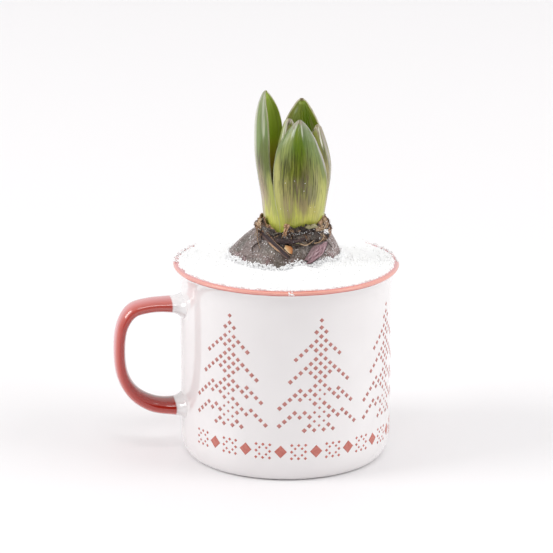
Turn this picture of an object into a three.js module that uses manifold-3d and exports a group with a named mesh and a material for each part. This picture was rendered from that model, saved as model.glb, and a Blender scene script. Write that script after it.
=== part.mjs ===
// Potted hyacinth: a sprouting bulb set in soil in a ceramic mug, dressed with white granules.
// Millimetres, +Z up. The origin is the middle of the object's box, on the surface it stands on.
// The mug's handle points to -X. Heights are above the surface that the mug stands on.
import * as THREE from 'three';
import { mergeVertices } from 'three/addons/utils/BufferGeometryUtils.js';
import Module from 'manifold-3d';

const wasm = await Module();
wasm.setup();

// Driving dimensions of the mug
const RIM_RADIUS = 45;
const RIM_HEIGHT = 78.6;
const BODY_RADIUS = 42.2;
const WALL = 3.8;
const FLOOR = 6;
const FOOT_OUTER = 38.3;
const FOOT_INNER = 34.4;
const FOOT_RECESS = 1.2;
const EDGE_HEIGHT = 9.8;
const MUG_SIDES = 48;
const HANDLE_REACH = 69.5;
const HANDLE_WIDTH = 12;

// Driving dimensions of the filling
const SOIL_TOP = 73.2;
const GAP = 0.3;
const PLAY = 0.4;

// Driving dimensions of the bulb and its shoot, seen with the handle turned to the left
const SHOOT_X = 2.4;
const SHOOT_RADIUS = 12.1;
const SHOOT_FOOT = 86;
const BULB_X = -0.6;
const BULB_FOOT = 44.5;
const BULB_SIDES = 44;
const RIB_COUNT = 21;
const RIB_DEPTH = 0.35;
const NECK_TOP = 93;

// The plant's own front is turned this far round from the mug's front
const PLANT_TURN = THREE.MathUtils.degToRad(-10);

// The mug stands off the middle of the box, because its handle reaches further than its rim
const MUG_X = (HANDLE_REACH - RIM_RADIUS) / 2;

const GLAZE_WHITE = 0xefecea;
const SOIL_BROWN = 0x3a2a20;
const GRANULE_WHITE = 0xfafafa;
const TUNIC_GREY = 0x8a7f80;
const ROOT_CREAM = 0xe8dfc8;
const DRY_BROWN = 0x4a3830;
const TAN = 0xc08a50;
const TUNIC_PURPLE = 0x8e6478;
const LEAF_GREEN = 0x7f9a3e;
const LEAF_DEEP = 0x6c8a30;
const BUD_GREEN = 0x8aa65a;

// A small repeatable source of random numbers between 0 and 1
function seeded(seed) {
  let state = seed;
  return () => {
    state = (state * 1664525 + 1013904223) % 4294967296;
    return state / 4294967296;
  };
}

// A smooth wave round a full turn, made of a few harmonics with seeded sizes and phases
function waveRound(seed, harmonics) {
  const random = seeded(seed);
  const terms = harmonics.map((count) => ({ count, size: 0.5 + random(), phase: random() * 2 * Math.PI }));
  const total = terms.reduce((sum, term) => sum + term.size, 0);
  return (angle) => terms.reduce((sum, t) => sum + t.size * Math.sin(t.count * angle + t.phase), 0) / total;
}

// The direction at a bearing: 0 faces the viewer at -Y, and 90 degrees is to the right, +X
function heading(bearing) {
  return new THREE.Vector2(Math.sin(bearing), -Math.cos(bearing));
}

function bearingOf(x, y) {
  return Math.atan2(x, -y);
}

// A smooth curve through rows of numbers, read at the first number of each row
function through(rows) {
  const heights = rows.map((row) => row[0]);
  const values = rows.flatMap((row) => row.slice(1));
  const curve = new THREE.CubicInterpolant(heights, values, rows[0].length - 1);
  return (height) => Array.from(curve.evaluate(height));
}

// A closed body without normals or texture, with its shared corners merged and no empty triangles
function closed(geometry) {
  geometry.deleteAttribute('normal');
  geometry.deleteAttribute('uv');
  const merged = mergeVertices(geometry, 1e-4);
  const corners = merged.index.array;
  const kept = [];
  for (let i = 0; i < corners.length; i += 3) {
    const [a, b, c] = [corners[i], corners[i + 1], corners[i + 2]];
    if (a !== b && b !== c && c !== a) kept.push(a, b, c);
  }
  merged.setIndex(kept);
  return merged;
}

function toSolid(geometry) {
  const body = closed(geometry);
  const vertProperties = new Float32Array(body.attributes.position.array);
  const triVerts = new Uint32Array(body.index.array);
  return new wasm.Manifold(new wasm.Mesh({ numProp: 3, vertProperties, triVerts }));
}

function toGeometry(solid) {
  const mesh = solid.getMesh();
  const geometry = new THREE.BufferGeometry();
  geometry.setAttribute('position', new THREE.BufferAttribute(new Float32Array(mesh.vertProperties), 3));
  geometry.setIndex(new THREE.BufferAttribute(new Uint32Array(mesh.triVerts), 1));
  return geometry;
}

// A profile of radius and height turned round the +Z axis, starting at the front
function lathe(profile, sides) {
  const points = profile.map(([radius, height]) => new THREE.Vector2(radius, height));
  return new THREE.LatheGeometry(points, sides).rotateX(Math.PI / 2);
}

// Moves every corner of a geometry by a rule
function reshape(geometry, rule) {
  const place = geometry.attributes.position;
  const corner = new THREE.Vector3();
  for (let i = 0; i < place.count; i += 1) {
    corner.fromBufferAttribute(place, i);
    rule(corner, i);
    place.setXYZ(i, corner.x, corner.y, corner.z);
  }
  return geometry;
}

// A profile moved outwards by a distance, along its own normals
function grown(profile, distance) {
  return profile.map(([radius, height], i) => {
    const before = profile[Math.max(i - 1, 0)];
    const after = profile[Math.min(i + 1, profile.length - 1)];
    const along = new THREE.Vector2(after[0] - before[0], after[1] - before[1]).normalize();
    return [Math.max(radius + along.y * distance, 0), height - along.x * distance];
  });
}

// Points on a quarter of an oval in a profile, from its lowest point up to its outermost
function roundedEdge(outerRadius, bottom, width, height, steps) {
  return Array.from({ length: steps + 1 }, (_, i) => {
    const angle = (i / steps - 1) * (Math.PI / 2);
    return [outerRadius - width * (1 - Math.cos(angle)), bottom + height * (1 + Math.sin(angle))];
  });
}

function triangles(points, faces) {
  const geometry = new THREE.BufferGeometry();
  const values = points.flatMap((point) => [point.x, point.y, point.z]);
  geometry.setAttribute('position', new THREE.Float32BufferAttribute(values, 3));
  geometry.setIndex(faces);
  return geometry;
}

function quad(a, b, c, d) {
  return [a, b, c, a, c, d];
}

// A body lofted through closed loops that run the same way round. It is either closed flat at both
// ends or, as a ring, joined from its last loop back to its first.
function loft(loops, ring = false) {
  const size = loops[0].length;
  const last = (loops.length - 1) * size;
  const faces = [];
  for (let row = 0; row < loops.length - (ring ? 0 : 1); row += 1) {
    for (let i = 0; i < size; i += 1) {
      const next = (i + 1) % size;
      const low = row * size;
      const high = ((row + 1) % loops.length) * size;
      faces.push(...quad(low + i, low + next, high + next, high + i));
    }
  }
  for (let i = 0; !ring && i < size / 2 - 1; i += 1) {
    const opposite = size - 1 - i;
    faces.push(...quad(i, opposite, opposite - 1, i + 1));
    faces.push(...quad(last + i, last + i + 1, last + opposite - 1, last + opposite));
  }
  return triangles(loops.flat(), faces);
}

// A round or oval bar along a path: size(t) gives its half width and half thickness, and the width
// lies along the given direction
function bar(path, sides, stops, size, widthDirection) {
  const loops = stops.map((t) => {
    const centre = path.getPoint(t);
    const along = path.getTangent(t);
    const across = new THREE.Vector3().crossVectors(widthDirection, along).normalize();
    const wide = new THREE.Vector3().crossVectors(along, across).normalize();
    const [halfWidth, halfThickness] = size(t);
    return Array.from({ length: sides }, (_, i) => {
      const angle = ((i + 0.5) / sides) * 2 * Math.PI;
      const point = centre.clone().addScaledVector(across, halfThickness * Math.cos(angle));
      return point.addScaledVector(wide, halfWidth * Math.sin(angle));
    });
  });
  return loft(loops);
}

function evenStops(count) {
  return Array.from({ length: count + 1 }, (_, i) => i / count);
}

function finish(colour, roughness) {
  return new THREE.MeshStandardMaterial({ color: colour, roughness, metalness: 0 });
}

function piece(name, geometry, material) {
  const mesh = new THREE.Mesh(geometry, material);
  mesh.name = name;
  return mesh;
}

// Mug: one body of revolution with a foot ring, a rounded lower edge and a lip that flares out
const INNER_RADIUS = BODY_RADIUS - WALL;
const MUG_PROFILE = [
  [0, FOOT_RECESS],
  [FOOT_INNER - 0.6, FOOT_RECESS],
  [FOOT_INNER, 0],
  ...roundedEdge(BODY_RADIUS, 0, BODY_RADIUS - FOOT_OUTER, EDGE_HEIGHT, 6),
  [BODY_RADIUS, 40],
  [BODY_RADIUS, 68],
  [BODY_RADIUS + 0.2, 71.5],
  [BODY_RADIUS + 0.8, 74.2],
  [RIM_RADIUS - 1, 76.2],
  [RIM_RADIUS - 0.2, 77],
  [RIM_RADIUS, 77.7],
  [RIM_RADIUS - 0.5, RIM_HEIGHT - 0.25],
  [RIM_RADIUS - 1.6, RIM_HEIGHT],
  [RIM_RADIUS - 3, RIM_HEIGHT - 0.4],
  [RIM_RADIUS - 4, RIM_HEIGHT - 1.5],
  [RIM_RADIUS - 4.9, RIM_HEIGHT - 4],
  [INNER_RADIUS + 0.4, 71],
  [INNER_RADIUS, 67],
  ...roundedEdge(INNER_RADIUS, FLOOR, EDGE_HEIGHT - WALL, EDGE_HEIGHT - WALL, 3).reverse(),
  [0, FLOOR],
];

// Handle: an oval strap bent to a D, thinnest at the grip, with both roots flared on to the wall
const HANDLE_ROUTE = [
  [BODY_RADIUS - 1.8, 62],
  [46.5, 62.6],
  [55.5, 62.4],
  [61.9, 60.5],
  [65.8, 54.8],
  [HANDLE_REACH - 2.3, 44.5],
  [65.9, 33.8],
  [61.5, 26.2],
  [54.2, 21.5],
  [46.5, 20.2],
  [BODY_RADIUS - 1.8, 20.4],
];
const handleThickness = through([
  [0, 11],
  [0.06, 7.4],
  [0.12, 6.1],
  [0.3, 5.6],
  [0.45, 4.8],
  [0.62, 5],
  [0.8, 6.4],
  [0.9, 6.9],
  [0.95, 8.2],
  [1, 11.4],
]);
const handleWidth = through([
  [0, HANDLE_WIDTH + 6],
  [0.06, HANDLE_WIDTH + 1.6],
  [0.12, HANDLE_WIDTH],
  [0.5, HANDLE_WIDTH - 0.6],
  [0.88, HANDLE_WIDTH],
  [0.94, HANDLE_WIDTH + 1.6],
  [1, HANDLE_WIDTH + 6],
]);

function mug() {
  const body = toSolid(lathe(MUG_PROFILE, MUG_SIDES));
  const stops = HANDLE_ROUTE.map(([reach, height]) => new THREE.Vector3(-reach, 0, height));
  const route = new THREE.CatmullRomCurve3(stops);
  const size = (t) => [handleWidth(t)[0] / 2, handleThickness(t)[0] / 2];
  const strap = toSolid(bar(route, 12, evenStops(30), size, new THREE.Vector3(0, 1, 0)));
  return toGeometry(body.add(strap));
}

// What nothing inside the mug may reach into: the mug with a little room round it
const mugRoom = toSolid(lathe(grown(MUG_PROFILE, GAP), MUG_SIDES));

// Bulb: height, radius and sideways place of its outline, which leans to the right at the neck
const bulbOutline = through([
  [BULB_FOOT, 8.5, BULB_X],
  [46, 12.6, BULB_X],
  [49, 17.4, BULB_X],
  [53, 21.3, BULB_X],
  [58, 24.6, BULB_X],
  [64, 26.7, BULB_X],
  [70, 26.9, BULB_X],
  [76, 25.4, BULB_X],
  [81.4, 22.6, BULB_X + 0.1],
  [84.5, 20.9, 0],
  [86.5, 19.4, 0.5],
  [88, 18.2, 0.9],
  [89.6, 16.8, 1.4],
  [91.1, 15.2, 1.9],
  [NECK_TOP, 13.6, SHOOT_X],
]);
const ribWave = waveRound(7, [RIB_COUNT, RIB_COUNT * 2 - 5, 8]);

// The bulb's surface at a height and bearing. Ribs only cut in, and fade out below the dressing.
function bulbRadius(height, bearing) {
  const fade = THREE.MathUtils.smoothstep(height, 79, 84);
  return bulbOutline(height)[0] - (RIB_DEPTH * fade * (1 + ribWave(bearing))) / 2;
}

function onBulb(height, bearing, lift) {
  const [low] = bulbOutline(height - 0.5);
  const [high] = bulbOutline(height + 0.5);
  const slope = Math.atan(low - high);
  const out = heading(bearing).multiplyScalar(bulbRadius(height, bearing) + lift * Math.cos(slope));
  return new THREE.Vector3(bulbOutline(height)[1] + out.x, out.y, height + lift * Math.sin(slope));
}

function bulbBody(room) {
  const rows = [BULB_FOOT, 46, 49, 53, 58, 64, 70, 76, 79, 81, 83, 85, 87, 88.5, 90, 91.5, NECK_TOP];
  const profile = [[0, BULB_FOOT - room], ...rows.map((height) => [1, height]), [0, NECK_TOP + room]];
  const blank = reshape(lathe(profile, BULB_SIDES), (corner) => {
    const height = THREE.MathUtils.clamp(corner.z, BULB_FOOT, NECK_TOP);
    if (Math.hypot(corner.x, corner.y) > 0.5) {
      corner.copy(onBulb(height, bearingOf(corner.x, corner.y), room));
    } else {
      corner.x = bulbOutline(height)[1];
    }
    if (height === BULB_FOOT) corner.z = BULB_FOOT - room;
    if (height === NECK_TOP) corner.z = NECK_TOP + room;
  });
  return toSolid(blank);
}

// The cup in the neck that holds the feet of the leaves and of the flower stem
function neckCup() {
  const radius = SHOOT_RADIUS + PLAY;
  const height = NECK_TOP - SHOOT_FOOT + 5;
  const cup = new THREE.CylinderGeometry(radius, radius, height, BULB_SIDES).rotateX(Math.PI / 2);
  return toSolid(cup.translate(SHOOT_X, 0, SHOOT_FOOT + height / 2));
}

// Roots: a basal plate with fleshy strands that run out and down into the soil
const ROOT_COUNT = 12;
const ROOT_RADIUS = 0.9;
const PLATE_RADIUS = 7.5;
const PLATE_THICKNESS = 2;

function roots(room) {
  const random = seeded(23);
  const top = BULB_FOOT - GAP;
  const radius = PLATE_RADIUS + room;
  const thickness = PLATE_THICKNESS + room;
  const plate = new THREE.CylinderGeometry(radius, radius - 2, thickness, 18).rotateX(Math.PI / 2);
  let tuft = toSolid(plate.translate(BULB_X, 0, top - thickness / 2));
  for (let i = 0; i < ROOT_COUNT; i += 1) {
    const bearing = ((i + 0.5 * random()) / ROOT_COUNT) * 2 * Math.PI;
    const drift = (random() - 0.5) * 0.9;
    const reach = 12 + 16 * random();
    const depth = 22 + 12 * random();
    const at = (distance, turn, height) => {
      const out = heading(bearing + turn).multiplyScalar(distance);
      return new THREE.Vector3(BULB_X + out.x, out.y, height);
    };
    const route = new THREE.CatmullRomCurve3([
      at(PLATE_RADIUS - 3, 0, top - 1),
      at(PLATE_RADIUS + reach * 0.2, drift * 0.2, top - depth * 0.25),
      at(PLATE_RADIUS + reach * 0.55, drift * 0.8, top - depth * 0.6),
      at(PLATE_RADIUS + reach * 0.8, drift, top - depth - room),
    ]);
    const size = (t) => Array(2).fill(ROOT_RADIUS * (1.1 - 0.45 * t) + room);
    const strand = bar(route, 6, evenStops(6), size, new THREE.Vector3(0, 0, 1).cross(at(1, 0, 0)));
    tuft = tuft.add(toSolid(strand));
  }
  return tuft;
}

// Soil fills the mug to just under the dressing, round the bulb and its roots
function soil(bulbRoom, rootRoom) {
  const reach = INNER_RADIUS + 1.6;
  const profile = [[0, 5], [reach, 5], [reach, SOIL_TOP], [0, SOIL_TOP]];
  const blank = toSolid(lathe(profile, MUG_SIDES));
  return toGeometry(blank.subtract(mugRoom).subtract(bulbRoom).subtract(rootRoom));
}

// Dressing of white granules: level with the lip in front, mounded round the bulb, and spread over
// the back of the lip. Each pair of profiles gives its section in front and behind.
const DRESSING_FRONT = [
  [0, SOIL_TOP + GAP],
  [38.9, SOIL_TOP + GAP],
  [40, 76],
  [40.5, 77],
  [40.5, 77.4],
  [40.3, 77.8],
  [39.8, 78.1],
  [38.6, 78.4],
  [36, 78.8],
  [32, 79.4],
  [28, 80.3],
  [24.5, 81.5],
  [21, 83],
  [0, 83],
];
const DRESSING_BACK = [
  [0, SOIL_TOP + GAP],
  [38.9, SOIL_TOP + GAP],
  [40.5, 77],
  [42, 78.5],
  [44.4, 78.9],
  [44.6, 79.4],
  [43.8, 79.9],
  [41.5, 80.3],
  [38, 80.5],
  [33.5, 80.7],
  [29, 81],
  [25, 81.6],
  [21, 82.6],
  [0, 83],
];
const DRESSING_SIDES = 60;
const LUMP = 0.25;

function dressing(bulbRoom) {
  const lumpy = waveRound(11, [5, 9, 14, 23]);
  const ragged = waveRound(3, [13, 19, 29]);
  const blank = reshape(lathe(DRESSING_FRONT, DRESSING_SIDES), (corner, i) => {
    const row = i % DRESSING_FRONT.length;
    const [frontRadius, frontHeight] = DRESSING_FRONT[row];
    const [backRadius, backHeight] = DRESSING_BACK[row];
    if (frontRadius === 0) return;
    const bearing = bearingOf(corner.x, corner.y);
    const behind = THREE.MathUtils.smoothstep(Math.abs(bearing) + 0.16 * ragged(bearing), 1.75, 2.3);
    const loose = row > 3 ? LUMP * lumpy(bearing + row * 0.9) : 0;
    const out = heading(bearing).multiplyScalar(THREE.MathUtils.lerp(frontRadius, backRadius, behind));
    corner.set(out.x, out.y, THREE.MathUtils.lerp(frontHeight, backHeight, behind) + loose);
  });
  return toGeometry(toSolid(blank).subtract(mugRoom).subtract(bulbRoom));
}

// Collar of dried old scales: a torn ring round the feet of the leaves, with a skirt that lies on
// the bulb's shoulder and hangs lower in front
const COLLAR_INNER = SHOOT_RADIUS + PLAY;
const COLLAR_SIDES = 52;
const COLLAR_NOTCH = THREE.MathUtils.degToRad(-27);

function collar(bulbRoom, trims) {
  const crumple = waveRound(5, [7, 11, 17, 23]);
  const torn = waveRound(9, [9, 16, 25]);
  const hem = waveRound(14, [6, 13, 21]);
  const section = (bearing) => {
    const degrees = THREE.MathUtils.radToDeg(bearing);
    const rightwards = THREE.MathUtils.smoothstep(degrees, -65, 5);
    const front = rightwards * (1 - THREE.MathUtils.smoothstep(degrees, 60, 110));
    const low = 92.2 - 3.3 * front + 0.3 * hem(bearing);
    const bare = Math.exp(-(((bearing + 1.5) / 0.5) ** 2));
    const notch = Math.exp(-(((bearing - COLLAR_NOTCH) / 0.14) ** 2));
    const rise = 1.2 * Math.max(0.2, Math.sin(bearing)) + 1.1 * torn(bearing) - 4 * notch;
    const bulge = (row) => (0.5 - 0.3 * bare) * crumple(bearing + row * 0.8) - 0.8 * bare;
    const lying = (height, lift) => {
      const corner = onBulb(height, bearing, lift);
      return [Math.hypot(corner.x - SHOOT_X, corner.y), corner.z];
    };
    return [
      [COLLAR_INNER, 90.3],
      lying(low, -1),
      lying(low, 1.2 - 1.8 * bare),
      lying((low + NECK_TOP) / 2, 1.3 + bulge(0) - bare),
      lying(NECK_TOP - 0.3, 1.2 + bulge(1) - bare),
      [14.4 + bulge(2), 94 + rise * 0.4],
      [14.4 + bulge(3), 95.9 + rise],
      [13.6 + 0.6 * bulge(3), 96 + rise],
      [COLLAR_INNER + 0.5 - 0.3 * bare, 93.8 + rise * 0.3],
      [COLLAR_INNER, 91.4],
    ];
  };
  const loops = evenStops(COLLAR_SIDES).slice(0, COLLAR_SIDES).map((turn) => {
    const bearing = (turn - 0.5) * 2 * Math.PI;
    const out = heading(bearing);
    return section(bearing).map(([radius, height]) => (
      new THREE.Vector3(SHOOT_X + out.x * radius, out.y * radius, height)
    ));
  });
  return toGeometry(toSolid(loft(loops.reverse(), true)).subtract(bulbRoom).subtract(trims));
}

// A thin piece lying on the bulb between two edge lines, each given as bearing in degrees and height
function peel(left, right, thickness, curl, room) {
  const across = 5;
  const at = (s, t, lift) => {
    const [a, b] = [left(t), right(t)];
    const bearing = THREE.MathUtils.degToRad(THREE.MathUtils.lerp(a[0], b[0], s));
    return onBulb(THREE.MathUtils.lerp(a[1], b[1], s), bearing, lift);
  };
  const beyond = (share) => (stop) => THREE.MathUtils.lerp(-share, 1 + share, stop);
  const strips = evenStops(across).map(beyond(0.5 * room));
  const loops = evenStops(8).map(beyond(0.15 * room)).map((t) => {
    const raised = GAP + PLAY + curl * t * t;
    const ridge = (s) => 0.35 * Math.sin(THREE.MathUtils.clamp(s, 0, 1) * Math.PI);
    const outer = strips.map((s) => at(s, t, raised + thickness + room + ridge(s)));
    const inner = strips.map((s) => at(s, t, raised - room + ridge(s)));
    return [...outer, ...inner.reverse()];
  });
  return loft(loops.reverse());
}

// A line on the bulb from one bearing and height to another, bowed sideways by some degrees
function line(from, to, bow = 0) {
  return (t) => [
    THREE.MathUtils.lerp(from[0], to[0], t) + bow * Math.sin(t * Math.PI),
    THREE.MathUtils.lerp(from[1], to[1], t),
  ];
}

const PEELS = {
  tunic_flap: (room) => peel(line([-46, 91], [3, 84.4], 4), line([-39, 91.6], [5.5, 85.6], 3), 0.8, 0.5, room),
  tunic_flake: (room) => peel(line([-6, 88.8], [2.5, 86.8]), line([6.5, 88.4], [6.5, 86.4]), 0.8, 0.6, room),
  tunic_scale: (room) => (
    peel(line([30, 87.6], [27, 83.6], -3), line([62, 88.4], [46, 84.4], 4), 0.8, 0.4, room)
  ),
};

// Leaves: each section is an arc round a centre of its own, thick at the keel and thin at the
// margins. A row gives height, centre x and y, radius, bearing of the keel and half of the wrap.
const LEAF_MARGIN = 0.7;
const LEAVES = {
  leaf_front: {
    thickness: 2.4,
    colour: LEAF_GREEN,
    rows: [
      [SHOOT_FOOT + GAP, SHOOT_X, 0, SHOOT_RADIUS, 22, 47],
      [NECK_TOP, SHOOT_X, 0, SHOOT_RADIUS, 22, 47],
      [98, 3, -0.3, 12.5, 18, 47],
      [104.5, 4.6, -1, 13.3, 5, 48],
      [110.4, 5, -1.5, 13.8, 2, 50],
      [116.4, 5, -1.6, 13.6, 1, 51],
      [121.6, 4.8, -2, 12.2, 0, 53],
      [126.7, 4.4, -3, 10, 0, 55],
      [130.3, 4.6, -4.2, 7.7, 0, 57],
      [133.4, 4.8, -5.4, 5.1, 0, 60],
      [135.8, 5.2, -6.6, 2.7, 0, 64],
      [137.6, 5.6, -7.6, 0.8, 0, 60],
    ],
  },
  leaf_left: {
    thickness: 2.2,
    colour: LEAF_GREEN,
    rows: [
      [SHOOT_FOOT + GAP, SHOOT_X, 0, SHOOT_RADIUS - 0.5, -89, 57],
      [NECK_TOP, SHOOT_X, 0, SHOOT_RADIUS - 0.5, -89, 57],
      [98, 2.1, 0.1, 11.6, -90, 59],
      [105, 0.5, 0.3, 10.6, -93, 64],
      [113, -1.9, 0.4, 9.6, -98, 74],
      [122, -3.7, 0.5, 9.1, -104, 84],
      [130, -3.9, 0.6, 9.1, -107, 87],
      [137, -4.7, 0.6, 7.9, -107, 86],
      [142, -5.8, 0.5, 5.7, -107, 82],
      [145.4, -7, 0.3, 3.1, -107, 76],
      [147.4, -8.2, 0.2, 0.8, -107, 60],
    ],
  },
  leaf_back: {
    thickness: 2.2,
    colour: LEAF_DEEP,
    rows: [
      [SHOOT_FOOT + GAP, SHOOT_X, 0, SHOOT_RADIUS, 181, 27],
      [NECK_TOP, SHOOT_X, 0, SHOOT_RADIUS, 181, 27],
      [98, 2.8, 0.3, 12.5, 181, 29],
      [105, 4, 0.8, 13.2, 180, 34],
      [113, 5.4, 1.6, 13.2, 180, 38],
      [122, 6, 2.4, 12.2, 180, 42],
      [129, 6, 3.2, 11.2, 180, 44],
      [134, 5.8, 4.8, 8.9, 180, 44],
      [138.6, 5.8, 8, 4.8, 180, 44],
      [142.3, 5.8, 11, 0.9, 180, 44],
    ],
  },
  leaf_right: {
    thickness: 2,
    colour: LEAF_GREEN,
    rows: [
      [SHOOT_FOOT + GAP, SHOOT_X, 0, SHOOT_RADIUS, 112, 36],
      [NECK_TOP, SHOOT_X, 0, SHOOT_RADIUS, 112, 36],
      [98, 2.9, 0, 12.3, 107, 39],
      [105, 5.1, 0, 11.2, 99, 50],
      [113, 7.5, -0.1, 10, 93, 60],
      [118, 8.7, -0.2, 8.9, 88, 66],
      [124, 9.3, -0.5, 7.3, 82, 72],
      [129, 9.7, -0.8, 5.4, 78, 78],
      [132, 10.2, -1, 3.3, 76, 78],
      [134, 11.6, -1.1, 0.9, 76, 60],
    ],
  },
  leaf_inner: {
    thickness: 1.6,
    colour: LEAF_DEEP,
    rows: [
      [SHOOT_FOOT + GAP, SHOOT_X, 0, 9, -42, 46],
      [98, SHOOT_X, 0, 9, -42, 46],
      [105, 2.2, -1, 9, -46, 48],
      [113, 2.3, -1.8, 8.4, -50, 52],
      [118, 2.4, -2.4, 7.8, -52, 56],
      [124.5, 2.4, -2.8, 6.6, -54, 62],
      [130.5, 2, -3, 4.8, -55, 68],
      [134.3, 1.8, -3.2, 3, -55, 74],
      [137, 1.5, -3.4, 0.9, -55, 60],
    ],
  },
};

function leaf({ thickness, rows }) {
  const section = through(rows);
  const foot = rows[0][0];
  const tip = rows.at(-1)[0];
  const stations = evenStops(13).map((t) => foot + (tip - foot) * Math.sin((t * Math.PI) / 2));
  const loops = stations.map((height) => {
    const [x, y, radius, keel, wrap] = section(height);
    const full = Math.min(thickness, radius * 0.62);
    const at = (s, depth) => {
      const out = heading(THREE.MathUtils.degToRad(keel + s * wrap)).multiplyScalar(radius - depth);
      return new THREE.Vector3(x + out.x, y + out.y, height);
    };
    const steps = evenStops(8).map((t) => 2 * t - 1);
    const depth = (s) => Math.min(LEAF_MARGIN, full) + Math.max(full - LEAF_MARGIN, 0) * (1 - s * s);
    const outer = steps.map((s) => at(s, 0));
    const inner = steps.map((s) => at(s, depth(s)));
    return [...outer, ...inner.reverse()];
  });
  return loft(loops);
}

// Flower bud: a stem with a spike of packed pointed florets, low among the leaves
const BUD_X = 3.4;
const BUD_Y = 1.4;
const BUD_BASE = 98;
const BUD_TIP = 122;
const FLORET_TURN = Math.PI * (3 - Math.sqrt(5));
const FLORET_COUNT = 28;

function flowerBud() {
  const core = lathe([
    [0, SHOOT_FOOT + GAP],
    [3.6, SHOOT_FOOT + GAP],
    [3.4, BUD_BASE - 2],
    [4.2, BUD_BASE + 3],
    [4.4, BUD_BASE + 10],
    [3.4, BUD_TIP - 6],
    [1.4, BUD_TIP - 1],
    [0, BUD_TIP],
  ], 14);
  let spike = toSolid(core);
  for (let i = 0; i < FLORET_COUNT; i += 1) {
    const rise = (i + 0.5) / FLORET_COUNT;
    const outward = heading(i * FLORET_TURN);
    const spread = 4.1 * Math.sqrt(1 - rise ** 3) + 0.3;
    const tilt = 0.55 - 0.3 * rise;
    const floret = new THREE.SphereGeometry(1.75 - 0.6 * rise, 6, 4).scale(1, 1, 1.75);
    floret.rotateX(tilt).rotateZ(i * FLORET_TURN);
    floret.translate(outward.x * spread, outward.y * spread, BUD_BASE + rise * (BUD_TIP - BUD_BASE - 2));
    spike = spike.add(toSolid(floret));
  }
  return toGeometry(spike).translate(BUD_X, BUD_Y, 0);
}

// Pieces of the plant are made with its front at -Y, so their room is turned before it cuts what
// stands square to the mug
const asTurned = (solid) => solid.rotate([0, 0, THREE.MathUtils.radToDeg(PLANT_TURN)]);
const bulbRoom = bulbBody(PLAY);
const trims = Object.values(PEELS).map((shape) => toSolid(shape(PLAY)));
const trimRoom = trims.reduce((all, one) => all.add(one));

const pot = new THREE.Group();
pot.add(piece('mug', mug(), finish(GLAZE_WHITE, 0.12)));
pot.add(piece('soil', soil(asTurned(bulbRoom), asTurned(roots(PLAY + 0.1))), finish(SOIL_BROWN, 0.95)));
pot.add(piece('dressing', dressing(asTurned(bulbRoom)), finish(GRANULE_WHITE, 0.8)));

const plant = new THREE.Group();
plant.rotation.z = PLANT_TURN;
plant.add(piece('bulb', toGeometry(bulbBody(0).subtract(neckCup())), finish(TUNIC_GREY, 0.7)));
plant.add(piece('roots', toGeometry(roots(0)), finish(ROOT_CREAM, 0.8)));
plant.add(piece('neck_collar', collar(bulbRoom, trimRoom), finish(DRY_BROWN, 0.9)));
plant.add(piece('tunic_flap', PEELS.tunic_flap(0), finish(DRY_BROWN, 0.8)));
plant.add(piece('tunic_flake', PEELS.tunic_flake(0), finish(TAN, 0.8)));
plant.add(piece('tunic_scale', PEELS.tunic_scale(0), finish(TUNIC_PURPLE, 0.6)));
for (const [name, shape] of Object.entries(LEAVES)) {
  plant.add(piece(name, leaf(shape), finish(shape.colour, 0.45)));
}
plant.add(piece('flower_bud', flowerBud(), finish(BUD_GREEN, 0.6)));

const pottedHyacinth = new THREE.Group();
pottedHyacinth.position.x = MUG_X;
pottedHyacinth.add(pot, plant);

export default pottedHyacinth;
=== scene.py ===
# Potted hyacinth: a sprouting bulb in a white mug with a red lip and handle, dressed with granules.
# Shapes are worked out in millimetres and placed in metres. The mug's handle points to -X.
import math
import random

import bmesh
import bpy
from mathutils import Matrix, Vector, noise


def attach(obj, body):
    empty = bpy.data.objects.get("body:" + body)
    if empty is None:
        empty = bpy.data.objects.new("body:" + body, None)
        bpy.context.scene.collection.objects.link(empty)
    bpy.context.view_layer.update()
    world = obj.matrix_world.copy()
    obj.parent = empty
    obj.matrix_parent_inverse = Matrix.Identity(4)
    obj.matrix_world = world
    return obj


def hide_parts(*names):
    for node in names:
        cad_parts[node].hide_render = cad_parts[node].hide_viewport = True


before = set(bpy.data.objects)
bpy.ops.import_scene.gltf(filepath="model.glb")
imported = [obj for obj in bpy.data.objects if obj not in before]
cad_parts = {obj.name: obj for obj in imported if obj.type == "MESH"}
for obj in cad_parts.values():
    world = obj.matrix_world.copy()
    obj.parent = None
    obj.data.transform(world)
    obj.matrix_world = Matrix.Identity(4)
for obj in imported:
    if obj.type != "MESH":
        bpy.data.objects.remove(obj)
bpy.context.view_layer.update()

MM = 0.001

# Dimensions shared with the part's source
RIM_RADIUS = 45.0
RIM_HEIGHT = 78.6
BODY_RADIUS = 42.2
WALL = 3.8
FLOOR = 6.0
FOOT_OUTER = 38.3
FOOT_INNER = 34.4
FOOT_RECESS = 1.2
EDGE_HEIGHT = 9.8
HANDLE_REACH = 69.5
HANDLE_WIDTH = 12.0
SOIL_TOP = 73.2
GAP = 0.3
SHOOT_X = 2.4
SHOOT_RADIUS = 12.1
SHOOT_FOOT = 86.0
BULB_X = -0.6
BULB_FOOT = 44.5
NECK_TOP = 93.0
MUG_X = (HANDLE_REACH - RIM_RADIUS) / 2
PLANT_TURN = math.radians(-10)


# Small tools

def lerp(a, b, t):
    return a + (b - a) * t


def clamp(value, low=0.0, high=1.0):
    return max(low, min(high, value))


def smoothstep(value, low, high):
    t = clamp((value - low) / (high - low))
    return t * t * (3 - 2 * t)


def bump(value, centre, width):
    return math.exp(-(((value - centre) / width) ** 2))


def roughly(x, y, z=0.0, seed=0.0):
    """Smooth noise between about -1 and 1"""
    return noise.noise(Vector((x + 31.7 * seed, y - 17.3 * seed, z + 7.9 * seed)))


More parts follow.
